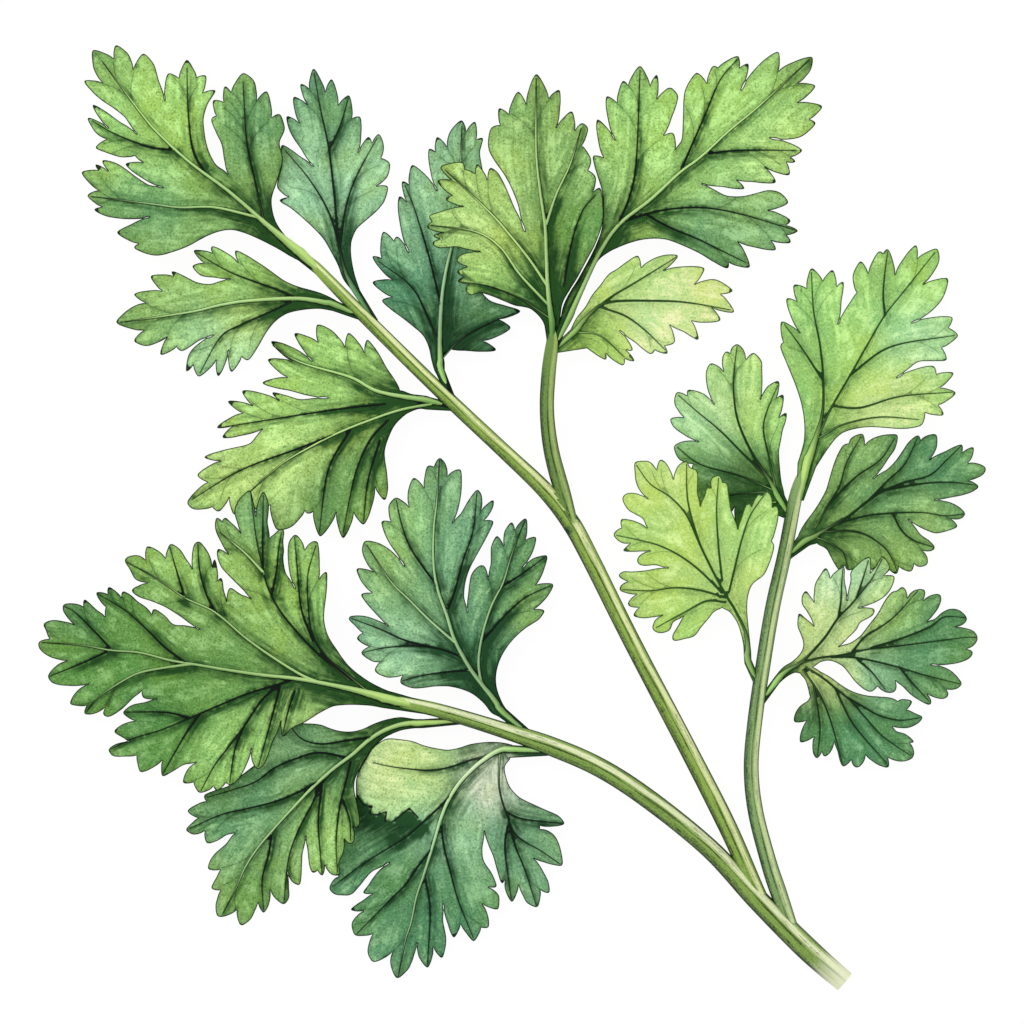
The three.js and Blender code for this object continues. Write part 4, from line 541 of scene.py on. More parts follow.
def fine_veins(ribs, tips, margin):
    """A thin vein to each tooth that no rib reaches, from the best placed rib."""
    veins = []
    starts = np.vstack([rib[2:-2] for rib in ribs])
    headings = np.vstack([unit(rib[3:-1, :2] - rib[1:-3, :2]) for rib in ribs])
    ends = np.array([rib[-1, :2] for rib in ribs])
    for tip in tips:
        if np.linalg.norm(ends - tip, axis=1).min() < VEIN_CLEAR:
            continue
        reach = tip - starts[:, :2]
        away = np.linalg.norm(reach, axis=1)
        cosine = (unit(reach) * headings).sum(1)
        aslant = np.degrees(np.arccos(np.clip(cosine, -1, 1)))
        cost = away + SLANT_COST * np.abs(aslant - VEIN_SLANT)
        cost[(away < VEIN_SHORTEST) | (away > VEIN_LONGEST) | (aslant > VEIN_SPREAD)] = np.inf
        for i in np.argsort(cost)[:6]:
            if not np.isfinite(cost[i]):
                break
            a = starts[i, :2]
            bend = a + headings[i] * 0.45 * away[i]
            t = np.linspace(0, 0.8, max(4, int(away[i] / 0.6)))[:, None]
            line = (1 - t) ** 2 * a + 2 * t * (1 - t) * bend + t ** 2 * tip
            if inside(line[1:], margin).all():
                veins.append(line)
                break
    return veins


def rib_rows(index, rib, neck, pale):
    """A rib's fine line of x, y and radius: a pale ridge, or a thinner ink line."""
    length = sum(math.dist(a, b) for a, b in zip(rib, rib[1:]))
    foot = RIB_FEET[pale][index > 0]
    line = smooth_line(rib, 0.5)
    away = np.linspace(0, length, len(line))
    radius = RIB_TIP + (foot - RIB_TIP) * (1 - away / length) ** 0.8
    if index == 0:
        radius += max(neck - foot, 0) * fade(away, NECK_RUN * neck)
    return np.column_stack([line, radius])


def blade_mesh(margin, lines, rim, tree):
    """A fine sheet over the solid blade, cut along its margin, ribs, veins and folds."""
    low, high = margin.min(0), margin.max(0)
    columns = np.arange(low[0], high[0], GRID)
    grid = [(x + (GRID / 2 if i % 2 else 0), y)
            for i, y in enumerate(np.arange(low[1], high[1], GRID * 0.87)) for x in columns]
    grid = np.array(grid)
    grid = grid[inside(grid, margin)]
    closed = np.vstack([margin, margin[:1]])
    grid = grid[nearest_on_line(grid, closed)[0] > MARGIN_CLEAR]
    points, edges = [*margin], []
    for line in lines:
        line = line[inside(line, margin)]
        line = line[nearest_on_line(line, closed)[0] > LINE_CLEAR / 2]
        if len(line) < 2:
            continue
        grid = grid[nearest_on_line(grid, line)[0] > LINE_CLEAR]
        edges += [(len(points) + k, len(points) + k + 1) for k in range(len(line) - 1)]
        points += [*line]
    points += [*grid]
    places, _, faces, *_ = delaunay_2d_cdt([Vector(p) for p in points], edges,
                                           [list(range(len(margin)))], 1, 1e-5, False)
    sheet = bmesh.new()
    closed_rim = np.vstack([rim, rim[:1]])
    for p in places:
        x, y = on_sheet(*p)
        hit = tree.ray_cast(Vector((x, y, 0.1)), Vector((0, 0, -1)))[0]
        if hit is None:
            _, place = nearest_on_line(np.array([p]), closed_rim)
            z = at_place(closed_rim, place)[0, 2] * MM
        else:
            z = hit.z
        sheet.verts.new((x, y, z - SKIN_DROP * MM))
    sheet.verts.ensure_lookup_table()
    flat = np.array([tuple(p) for p in places])
    middles = np.array([flat[face].mean(0) for face in faces])
    for face, kept in zip(faces, inside(middles, margin)):
        if kept:
            sheet.faces.new([sheet.verts[i] for i in face])
    loose = [v for v in sheet.verts if not v.link_faces]
    bmesh.ops.delete(sheet, geom=loose, context="VERTS")
    for _ in range(SMOOTHINGS):
        bmesh.ops.smooth_vert(sheet, verts=sheet.verts, factor=0.5, use_axis_z=True)
    bmesh.ops.recalc_face_normals(sheet, faces=sheet.faces)
    if sum(f.normal.z for f in sheet.faces) < 0:
        bmesh.ops.reverse_faces(sheet, faces=sheet.faces)
    return sheet


def ridge_lines(sheet, ribs, joint):
    """The ribs as tube lines on the sheet; the first starts back at its joint."""
    tree = BVHTree.FromBMesh(sheet)
    lines = []
    for i, rib in enumerate(ribs):
        heights = []
        for x, y in rib[:, :2]:
            place = (*on_sheet(x, y), 0.1)
            hit = tree.ray_cast(Vector(place), Vector((0, 0, -1)))[0]
            if hit is None:
                hit = tree.find_nearest(Vector((*place[:2], LEAF_LEVEL)))[0]
            heights.append(hit.z / MM)
        padded = np.pad(heights, 2, mode="edge")
        z = np.convolve(padded, np.full(5, 0.2), mode="valid")
        line = np.column_stack([rib[:, :2], z + RIDGE_LIFT * rib[:, 2], rib[:, 2]])
        if i == 0:
            x, y, height, radius = joint
            run = np.array([(x, y, height, radius * 0.45), *line[2:12:3]])
            line = np.vstack([smooth_line(run, 0.5)[:-1], line[11:]])
        lines.append(line)
    return lines


# The leaf skin's colour holds painted light: painted shade beside the ribs, at the foot, by the margin
# and veins and under a fold, streaked by brush marks, and painted light where a leaf lies out of that
# shade.
leaf_material, leaf_shader = new_material("leaf_skin", 0.65, 0.12)
mottle = cloud(2.4 * MM, 4.0) - 0.5
blotch = cloud(0.9 * MM, 3.0) - 0.5
grain = cloud(0.3 * MM, 3.0) - 0.5
flow_place = Value.node("CombineXYZ", {0: attribute("flow_along") * 0.14,
                                                 1: attribute("flow_across") * 1.5})
flow = Value.node("TexNoise", {"Vector": flow_place, "Scale": 1.0,
                                         "Detail": 4.0}) - 0.5
# depth: how strongly a leaf's shade is painted, and how black its ink and grain
depth = attribute("depth")
shade = attribute("shade")
# dark: the painted shade, broken by brush marks and mottling
dark = shade * depth * (flow * 1.6 + 1.1) + (flow * 0.7 + mottle) * (depth * 0.6 + 0.4)
warmth = cloud(9.0 * MM, 2.0) - 0.5
leaf_colour = (warmth.ramp(0.0, 0.16) * 0.7).blend(colours_of("wash"),
                                                   colours_of("warm"))
leaf_colour = (warmth.ramp(0.0, -0.16) * 0.7).blend(leaf_colour, colours_of("cool"))
leaf_colour = (dark + blotch * 0.6).ramp(-0.02, 1.12).blend(leaf_colour,
                                                           colours_of("deep"))
# painted light: a lighter colour where the leaf lies out of its painted shade
painted_light = (mottle + blotch * 0.6 - flow * 0.8 - shade * 0.8).ramp(-0.2, 0.25) * 0.85
leaf_colour = painted_light.blend(leaf_colour, colours_of("light"))
light_grain = grain.ramp(0.0, 0.25) * dark.ramp(0.7, 0.1) * 0.5
leaf_colour = light_grain.blend(leaf_colour, colours_of("light"))
dark_grain = grain.ramp(0.0, -0.25) * (depth * 0.4 + 0.2)
leaf_colour = dark_grain.blend(leaf_colour, colours_of("deep"))
rib_line = attribute("rib_gap").ramp(0.14, 0.02) * attribute("rib_ink")
# stroke: thin dark brush strokes, painted only inside the painted shade
stroke = abs(flow).ramp(0.018, 0.0) * shade.ramp(0.25, 0.75) * 0.75
vein_line = attribute("vein_gap").ramp(0.12, 0.02) * 0.45
fold_line = attribute("fold_gap").ramp(0.22, 0.08)
edge_line = attribute("edge_gap").ramp(0.22, 0.09) * 0.95
INK = paint("#06140c")
ink = depth.blend(colours_of("deep"), INK)
feed(leaf_shader, "Base Color",
     (rib_line | stroke | vein_line | fold_line | edge_line).blend(leaf_colour, ink))
leaf_bump = Value.node("Bump", {"Height": mottle * 0.5 + grain * 0.3,
                                          "Distance": 0.12 * MM, "Strength": 0.5})
feed(leaf_shader, "Normal", leaf_bump)

rib_material, rib_shader = new_material("leaf_rib", 0.6, 0.12)
rib_side = attribute("across") + (cloud(1.2 * MM) - 0.5) * 0.5
ridge = rib_side.ramp(0.95, 0.55) * rib_side.ramp(-1.25, -0.95) * attribute("rib_pale")
# A pale rib is painted darker on its side away from the lamp: painted shade.
ridge_colour = (rib_side.ramp(-0.3, 0.4) * 0.6).blend(colours_of("ridge"),
                                                      colours_of("ridge_shade"))
rib_ink = attribute("depth").blend(colours_of("deep"), INK)
feed(rib_shader, "Base Color", ridge.blend(rib_ink, ridge_colour))


def dress_leaf(mesh, leaf, lines, veins, margin):
    """Colours a leaf: its washes, its painted shade beside the ribs and at the foot, margin, veins and
    folds, its painted light, and its ink lines.
    """
    places = sheet_places(mesh)[:, :2]
    count = len(places)
    gap, shade = np.full(count, np.inf), np.zeros(count)
    size, across, pale = np.zeros(count), np.zeros(count), np.zeros(count)
    flow_along, flow_across = np.zeros(count), np.zeros(count)
    for i, line in enumerate(lines):
        away, place = nearest_on_line(places, line)
        here = at_place(line, place)
        radius = here[:, 3]
        beside = away - radius
        nearer = beside < gap
        signed = side_of_line(places, line, place) * away
        heading = line[-1, :2] - line[0, :2]
        lit = heading[0] * LAMP_SIDE[1] - heading[1] * LAMP_SIDE[0]
        across = np.where(nearer, signed / radius * (-1 if lit > 0 else 1), across)
        flow_along = np.where(nearer, place * 0.5 + i * FLOW_APART, flow_along)
        flow_across = np.where(nearer, signed, flow_across)
        gap, size = np.where(nearer, beside, gap), np.where(nearer, radius, size)
        pale = np.where(nearer, float(i in leaf["pale"]), pale)
        # The painted shade beside a rib: widest near its foot and strongest on the side away from the
        # lamp.
        facing = 0.5 - 0.5 * (unit(places - here[:, :2]) * LAMP_SIDE).sum(1)
        share = place / (len(line) - 1)
        width = (2.2 if i == 0 else 1.4) * (1.15 - 0.7 * share)
        cast = np.exp(-(np.maximum(beside, 0) / width) ** 1.5)
        cast = cast * (0.35 + 0.75 * facing ** 1.5) * (1.15 - 0.75 * share)
        shade = np.maximum(shade, cast)
    foot = leaf["ribs"][0][0]
    far = np.linalg.norm(margin - foot, axis=1).max()
    from_foot = np.linalg.norm(places - foot, axis=1)
    # Painted shade at the foot, by the margin, by the fine veins and under a fold.
    shade += FOOT_SHADE * fade(from_foot, 0.28 * far)
    closed = np.vstack([margin, margin[:1]])
    edge_gap = nearest_on_line(places, closed)[0]
    shade += EDGE_SHADE * fade(edge_gap, 0.7)
    vein_gap = np.full(count, NO_LINE)
    for vein in veins:
        vein_gap = np.minimum(vein_gap, nearest_on_line(places, vein)[0])
    shade += VEIN_SHADE * fade(vein_gap, 0.5)
    fold_gap = np.full(count, NO_LINE)
    for fold in leaf.get("folds", []):
        fold = np.array(fold)
        away, place = nearest_on_line(places, fold)
        under = side_of_line(places, fold, place) < 0
        shade += under * FOLD_SHADE * fade(away, 3.2)
        fold_gap = np.minimum(fold_gap, away)
    base = green(leaf["base"])
    wash, total = np.tile(base * BASE_WEIGHT, (count, 1)), np.full(count, BASE_WEIGHT)
    lobes = [(i, LOBE_SHARE, LOBE_REACH + LOBE_SPREAD * len(lines[i]), name)
             for i, name in enumerate(leaf["greens"].split())]
    for i, share, reach, name in lobes + leaf.get("patches", []):
        middle = lines[i][int(share * (len(lines[i]) - 1)), :2]
        weight = fade(np.linalg.norm(places - middle, axis=1), reach)
        wash += weight[:, None] * green(name)
        total += weight
    wash /= total[:, None]
    shade *= np.clip(1.5 - 1.6 * wash.mean(1), 0.15, 1)
    neck = fade(from_foot, NECK_RUN * leaf["joint"][3])
    share = neck[:, None] * 0.85
    ridge = np.minimum(wash * 0.8 + (0.2, 0.24, 0.13), 1) * (1 - share)
    ridge += share * green(leaf["foot"])
    # deep is the painted shade's green, also the ink's and dark grain's; light is the painted light's
    # colour, also the light grain's; ridge_shade is the painted shade on a rib's dark side.
    for layer, colours in {
            "wash": wash,
            "deep": (wash * 0.4 + base * 0.6) * (0.06, 0.16, 0.09),
            "light": wash * 1.4 + (0.15, 0.18, 0.11),
            "warm": wash * (1.15, 1.06, 0.76),
            "cool": wash * (0.86, 0.98, 1.1),
            "ridge": ridge * 1.15,
            "ridge_shade": ridge * (0.35, 0.5, 0.3)}.items():
        set_colours(mesh, layer, np.minimum(colours, 1))
    # The ink beside a pale rib is darker on its shaded side: painted shade.
    shaded = (across > -0.3) | (pale < 0.5)
    for layer, values in {
            "depth": np.full(count, leaf["depth"]),
            "shade": shade,
            "across": np.clip(across, -1.2, 1.2),
            "rib_gap": gap,
            "rib_ink": np.where(shaded, 1, 0.45) * np.clip(size / 0.1, 0.5, 1),
            "flow_along": flow_along,
            "flow_across": flow_across,
            "rib_pale": np.maximum(pale * np.clip((size - 0.07) / 0.06, 0, 1), neck),
            "vein_gap": vein_gap,
            "fold_gap": fold_gap,
            "edge_gap": edge_gap}.items():
        set_attribute(mesh, layer, values)


def make_leaf(name, **leaf):
    """One leaf: its sheet, a wall of its thickness, and its ribs as tubes on it.

    joint is where its foot meets the stalk (x, y, height, radius); ribs are lines of x
    and y, pale those drawn as pale ridges, greens their lobes' greens, some of them
    painted shade. A patch is (rib, share along it, reach, green), painted shade or a
    painted highlight among them; a nudge moves the margin near a place.
    """
    rim, tree = solid_blade(name)
    margin, tips = toothed_margin(rim)
    for x, y, reach, right, up in leaf.get("nudges", []):
        near = fade(np.linalg.norm(margin - (x, y), axis=1), reach)
        margin += near[:, None] * (right, up)
    margin = tapered_foot(margin, leaf["ribs"][0][0], leaf["joint"])
    neck = leaf["joint"][3]
    ribs = [rib_rows(i, rib, neck, i in leaf["pale"]) for i, rib in enumerate(leaf["ribs"])]
    veins = fine_veins(ribs, tips, margin)
    folds = [smooth_line([(x, y) for x, y in fold], 0.4) for fold in leaf.get("folds", [])]
    sheet = blade_mesh(margin, [*[rib[:, :2] for rib in ribs], *veins, *folds], rim, tree)
    lines = ridge_lines(sheet, ribs, leaf["joint"])
    lower = bmesh.ops.extrude_face_region(sheet, geom=sheet.faces, use_keep_orig=True)["geom"]
    lower_verts = [g for g in lower if isinstance(g, bmesh.types.BMVert)]
    bmesh.ops.translate(sheet, verts=lower_verts, vec=(0, 0, -SKIN * MM))
    bmesh.ops.recalc_face_normals(sheet, faces=sheet.faces)
    tubes = tube_mesh(name + "_ribs", lines, 3)
    for polygon in tubes.polygons:
        polygon.material_index = 1
    sheet.from_mesh(tubes)
    mesh = bpy.data.meshes.new(name)
    sheet.to_mesh(mesh)
    sheet.free()
    dress_leaf(mesh, leaf, lines, veins, margin)
    piece = add_piece(name + "_skin", mesh, [leaf_material, rib_material])
    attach(piece, "root")
    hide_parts(name)


make_leaf(
    "middle_tip_leaf", slot="leaf_green", base="grass", foot="lime",
    joint=(52.2, 119.4, 3.1, 0.85), pale=(0, 3), depth=1,
    greens="fresh fresh fern fern fresh",
    ribs=[
        [(49.2, 122.4), (43.2, 127.4), (36.8, 133), (30.4, 137.8), (25.6, 142.2), (22.4, 145.9),
         (16.2, 154.2)],
        [(32.8, 136.3), (30.9, 139.8), (30.1, 146.2), (29.9, 153)],
        [(42.4, 128), (40.8, 135), (39.5, 141.4), (38.9, 150.7)],
        [(41.3, 129), (34.4, 130.6), (28.8, 130.6), (24, 131.2), (14.6, 132.4)],
        [(28, 139.8), (24, 140.3), (18.4, 142.4), (14.7, 144.6)]])
make_leaf(
    "middle_upper_leaf", slot="leaf_blue_green", base="sea", foot="fern",
    joint=(60, 112.3, 3.2, 0.5), pale=(), depth=0.85,
    greens="sea mint mint fern",
    ribs=[
        [(57.3, 116.4), (55.2, 120.6), (54.1, 126.2), (53.4, 133.4), (52.5, 140.6), (51.2, 146.6),
         (50.2, 152.3)],
        [(54.6, 123), (52.8, 129.4), (49.6, 135), (45.6, 139.8)],
        [(54.4, 124.6), (55.4, 131), (57.1, 135.8), (60.3, 141.8)],
        [(52.6, 139.8), (54.4, 143.8), (55.7, 148.2)]])
make_leaf(
    "middle_outer_leaf", slot="leaf_yellow_green", base="grass", foot="grass",
    joint=(58.2, 113, 3.2, 0.5), pale=(0,), depth=0.9,
    patches=[(2, 0.5, 3, "lime")],
    greens="grass fresh mint",
    ribs=[
        [(54.4, 114.9), (48, 116), (40, 115.7), (35.2, 115), (30.4, 113.9), (19.2, 112.3)],
        [(48, 116), (43.2, 117.9), (36.8, 120.3), (31.4, 123.4)],
        [(47.2, 115.8), (43.2, 113.9), (38.4, 111.8), (35.2, 109.8), (32, 104.2)]])
make_leaf(
    "middle_lower_leaf", slot="leaf_green", base="grass", foot="grass",
    joint=(73, 98.6, 3.3, 0.5), pale=(0, 1), depth=1,
    greens="fresh lime lime fresh moss grass bottle",
    ribs=[
        [(69.4, 99.6), (60.8, 101.1), (56, 103.5), (48, 105.9), (43.5, 108.6)],
        [(69.1, 99.2), (64, 98.2), (59.2, 96.6), (54.4, 94.7), (49.6, 92.3), (44.8, 89.4), (38.4, 83.8)],
        [(54.4, 94.7), (48, 92.2), (38.4, 88.6), (30.6, 83.9)],
        [(61.6, 99.2), (52.8, 98.2), (35.4, 95.5)],
        [(62.1, 96.6), (59.2, 93.4), (56.8, 87.8), (54.9, 78.6)],
        [(60.8, 93.4), (58.9, 87), (58.2, 80.6)],
        [(56, 95), (52.5, 88.6), (51.1, 78.7)]])
make_leaf(
    "middle_inner_leaf", slot="leaf_blue_green", base="sea", foot="fresh",
    joint=(72.6, 99.3, 3.3, 0.5), pale=(0,), depth=1,
    # painted shade where the leaf lies under branch_tip_leaf
    patches=[(3, 0.4, 4, "shade")],
    greens="mint teal sea fern",
    ribs=[
        [(70.6, 103.7), (70.4, 109.4), (70.7, 115.8), (71.4, 120.6), (72.8, 127), (73.6, 135),
         (73.9, 143.8)],
        [(70.6, 107.8), (68, 114.2), (65.6, 118.2), (60.6, 122)],
        [(70.7, 114.2), (68.8, 122.2), (66.4, 130.2), (64.8, 134.2)],
        [(70.6, 106.2), (73.6, 109.4), (77.6, 111.8), (82.4, 113.8)]])
make_leaf(
    "branch_tip_leaf", slot="leaf_green", base="grass", foot="moss",
    joint=(88.3, 107.8, 3.6, 0.55), pale=(0, 1, 2, 3), depth=1,
    greens="grass grass lime lime fresh moss",
    ribs=[
        [(88.5, 110.9), (87.7, 117.4), (87.4, 123.8), (87.2, 127.8), (86.4, 133.4), (85.8, 139.8),
         (85.8, 151.4)],
        [(87.4, 127.8), (89, 132.6), (91.2, 137.4), (93, 143.3)],
        [(87.5, 118.2), (84.8, 122.2), (81.6, 126.2), (78.4, 129.8), (71.2, 136.6)],
        [(87.7, 115), (83.2, 119.8), (80, 124.2), (76, 126.7), (69, 127.7)],
        [(87.8, 113), (83.2, 116), (78.4, 117.9), (73.8, 118.7)],
        [(90.2, 118), (91, 122.8), (92, 127), (93.4, 130.4), (95.3, 132.6)]])
make_leaf(
    "branch_outer_leaf", slot="leaf_green", base="grass", foot="grass",
    joint=(88.6, 108, 3.6, 0.5), pale=(0,), depth=1,
    nudges=[(92.6, 118, 7, -0.4, 0.18), (97.2, 130.5, 6, -0.6, 0.1)],
    greens="fresh fresh fresh lime sea fern",
    ribs=[
        [(90.7, 112), (92.8, 116.8), (96, 123.5), (99.2, 128), (104, 131.8), (108.8, 136.2), (112, 138.6),
         (116.8, 143), (121.6, 147), (129.6, 154.4)],
        [(98.7, 127.5), (100.8, 132.6), (101.8, 138.2), (102.4, 152.6)],
        [(108.8, 136.2), (110.7, 140.6), (112.8, 145.4), (115.2, 151), (118, 154.4)],
        [(112.8, 139.2), (118.4, 139.8), (127.4, 139.8)],
        [(99.5, 128.3), (105.6, 130.1), (112, 130.6), (118.4, 129.6), (127.2, 127)],
        [(103.2, 129.6), (107.2, 127.4), (112, 125.4), (119.3, 121.8)]])
make_leaf(
    "branch_inner_leaf", slot="leaf_yellow_green", base="lime", foot="grass",
    joint=(88.7, 107.8, 3.5, 0.5), pale=(), depth=0.5,
    greens="straw fresh fresh straw",
    ribs=[
        [(91.4, 110), (94.4, 113.6), (97.6, 115.5), (105.6, 115.7), (110.4, 115.4), (117, 114.3)],
        [(94.4, 113.6), (97.6, 116.2), (101.6, 118.6), (108.2, 122.7)],
        [(92.3, 110.7), (96, 110.1), (99.8, 106.8)],
        [(96, 114.7), (100, 113.3), (103.2, 111), (106.5, 107.8)]])


# The right stalk's leaves are younger and paler; the lowest has three leaflets on one
# foot. They are made as the middle stalk's are.
make_leaf(
    "right_tip_leaf", slot="leaf_yellow_green", base="fresh", foot="lime",
    joint=(128, 83.8, 2.9, 0.75), pale=(), depth=0.5,
    greens="fresh fresh grass mint lime straw grass",
    ribs=[
        [(128.8, 88.8), (129.9, 91.8), (131.5, 97.4), (131.7, 103), (131.2, 108.6), (130.2, 114.2),
         (129.9, 120.3)],
        [(129.9, 91.8), (132.8, 98.2), (136, 103.8), (139.2, 109.4), (141.6, 113.4), (144.8, 117.4),
         (149.7, 123.5)],
        [(141.6, 113.4), (141.4, 117.4), (142.1, 123.6)],
        [(136, 103.8), (142.4, 108.3), (152.8, 110.2)],
        [(133.1, 98.9), (137.6, 98.6), (144, 100.4), (152.4, 101.1)],
        [(131, 93.8), (134.9, 95.9), (140.8, 97.1), (147, 96.7)],
        [(131.6, 103), (128.5, 107.8), (125.5, 112)]])
make_leaf(
    "right_inner_leaf", slot="leaf_blue_green", base="fresh", foot="fresh",
    joint=(126.6, 81, 2.4, 0.5), pale=(), depth=0.7,
    # the shade green on rib 3 and on the last two lobes paints the shade under right_lower_leaf
    patches=[(3, 0.4, 4, "shade")],
    greens="lime mint fresh fern shade shade",
    ribs=[
        [(125, 83.4), (123.2, 87), (120.3, 91.5), (118.1, 96.6), (117.4, 101.4), (117.6, 105.4),
         (118, 108.5)],
        [(123.2, 87), (119.2, 91), (115.2, 95), (111.7, 97.9), (108.6, 100.6)],
        [(124.2, 85.4), (123, 91), (122.2, 95), (122.7, 97.9), (124.5, 102.2)],
        [(123.8, 85.4), (118.4, 87.7), (112, 89.6), (108.4, 92.3)],
        [(124.2, 83.5), (120.8, 83), (118.3, 79.8)],
        [(122.4, 85.1), (116.8, 84.6), (112.2, 83.2)]])
make_leaf(
    "right_lower_leaf", slot="leaf_yellow_green", base="lime", foot="grass",
    joint=(121.7, 53.4, 2.6, 0.5), pale=(), depth=0.35,
    # painted shade at the leaf's foot
    patches=[(0, 0.08, 3, "bottle")],
    greens="lime lime fresh lime fresh fresh fresh",
    ribs=[
        [(119.7, 57.3), (119.4, 62.2), (117.6, 66.2), (116.3, 68.3), (114.1, 72.3), (112, 76.6),
         (109.8, 81.4), (107.2, 84.3), (104, 86.4), (101.8, 89.4)],
        [(112, 76.6), (110.7, 80.6), (109.9, 84.6), (109.8, 89.6)],
        [(115.5, 69), (112, 72.5), (108.8, 74.9), (105.6, 76.5), (102.4, 77.4), (98.6, 78.2)],
        [(115.8, 68.3), (112, 69.4), (108, 69.8), (104, 69.3), (99.6, 69.5)],
        [(116, 67.5), (113.1, 67.7), (110.1, 66.2), (105, 63.4)],
        [(116.6, 69.1), (117.8, 74.2), (118.6, 77.4), (119.8, 81), (121.3, 83.4), (122.6, 85.1)],
        [(115.5, 71), (114.9, 76.6), (114.6, 82.2), (114.9, 87.3)]])
make_leaf(
    "right_outer_leaf", slot="leaf_green", base="grass", foot="grass",
    joint=(125.8, 74.6, 2.4, 0.5), pale=(), depth=0.65,
    patches=[(2, 0.7, 2.5, "lime")],
    greens="teal fern grass grass grass grass grass grass bottle",
    ribs=[
        [(127.8, 76.8), (129.6, 77.6), (132.8, 79.5), (136, 81.4), (138.9, 83.7), (141.6, 85.4),
         (144.8, 86.7), (148.8, 87.8), (151.5, 90.2), (153.9, 92.5)],
        [(141.6, 85.4), (147.2, 86.4), (152, 86.7), (156.4, 86.2)],
        [(132.8, 79.5), (136, 80.6), (139.2, 81.4), (144, 81.8), (148, 81.8), (151.2, 81.3),
         (154.3, 81.6)],
        [(142.9, 81.6), (144.3, 79), (146.2, 77.4), (149.4, 76.3)],
        [(131.5, 78.7), (136, 78.9), (138.9, 78.1), (141.6, 76.2), (142.9, 74.2), (143.6, 72.4)],
        [(130.4, 77.9), (132.6, 77.1), (134.9, 75.5), (135.7, 72.9)],
        [(130.4, 79.4), (132.5, 83), (134.4, 86.2), (135.5, 89.9), (137.8, 94)],
        [(132.5, 83), (136.8, 87.4), (140.8, 90.2), (143.2, 93.7)],
        [(138.9, 83.7), (142.1, 87), (144.8, 89.6), (146.9, 93.8)]])
make_leaf(
    "right_foot_leaf", slot="leaf_green", base="grass", foot="fresh",
    joint=(121.7, 51.4, 2.6, 0.5), pale=(), depth=0.65,
    patches=[(3, 0.2, 4, "straw"), (9, 0.2, 4, "straw")],
    greens="straw mint mint teal fresh bottle fern sea mint fern teal teal fern fern",
    ribs=[
        [(123.7, 54.2), (125.6, 56.3), (128, 57.7), (129.9, 59.5), (132, 61.9), (134.1, 65), (136, 67),
         (137.9, 69.3), (139.5, 71.4), (141.1, 74.4)],
        [(134.1, 65), (134.5, 67.8), (134.6, 70.2), (134.8, 72.8)],
        [(137, 68.2), (137.9, 71), (138.9, 74.2)],
        [(128, 57.7), (131.2, 58.6), (134.4, 59), (139.2, 60), (144, 60.5), (148.8, 61.1), (154.4, 61.8),
         (156.2, 61.8)],
        [(136.3, 59.5), (138.4, 62), (140.8, 63.5), (143.2, 65.3), (146.9, 69.3)],
        [(139.4, 60.2), (144, 61.6), (148.8, 63.5), (151.2, 65.1), (154.6, 65)],
        [(133.1, 58.7), (136, 58.7), (139.2, 58.2), (144, 57), (148, 55.8), (153.6, 54.4)],
        [(144, 57), (145.6, 55), (148.6, 51.7)],
        [(137.3, 58.2), (139.5, 56.3), (141.6, 53.6)],
        [(129, 57), (131.2, 55.7), (133.6, 53.8), (136, 51.8), (138.4, 49.1), (140.8, 46.4),
         (143.2, 44.6), (145.6, 43)],
        [(133.6, 53.8), (134.9, 51), (136.3, 48.3), (138.6, 45.4), (141.8, 41.8)],
        [(128.5, 56.6), (129.9, 54.7), (131.4, 52.3), (132.6, 49.4), (133.6, 46.2), (134.8, 41.6)],
        [(135.7, 52.2), (138.4, 50.6), (140.8, 49.3), (144, 48.6), (147.2, 49)],
        [(130.2, 53.9), (130.9, 50.2), (131.2, 47), (130.8, 42.9)]])


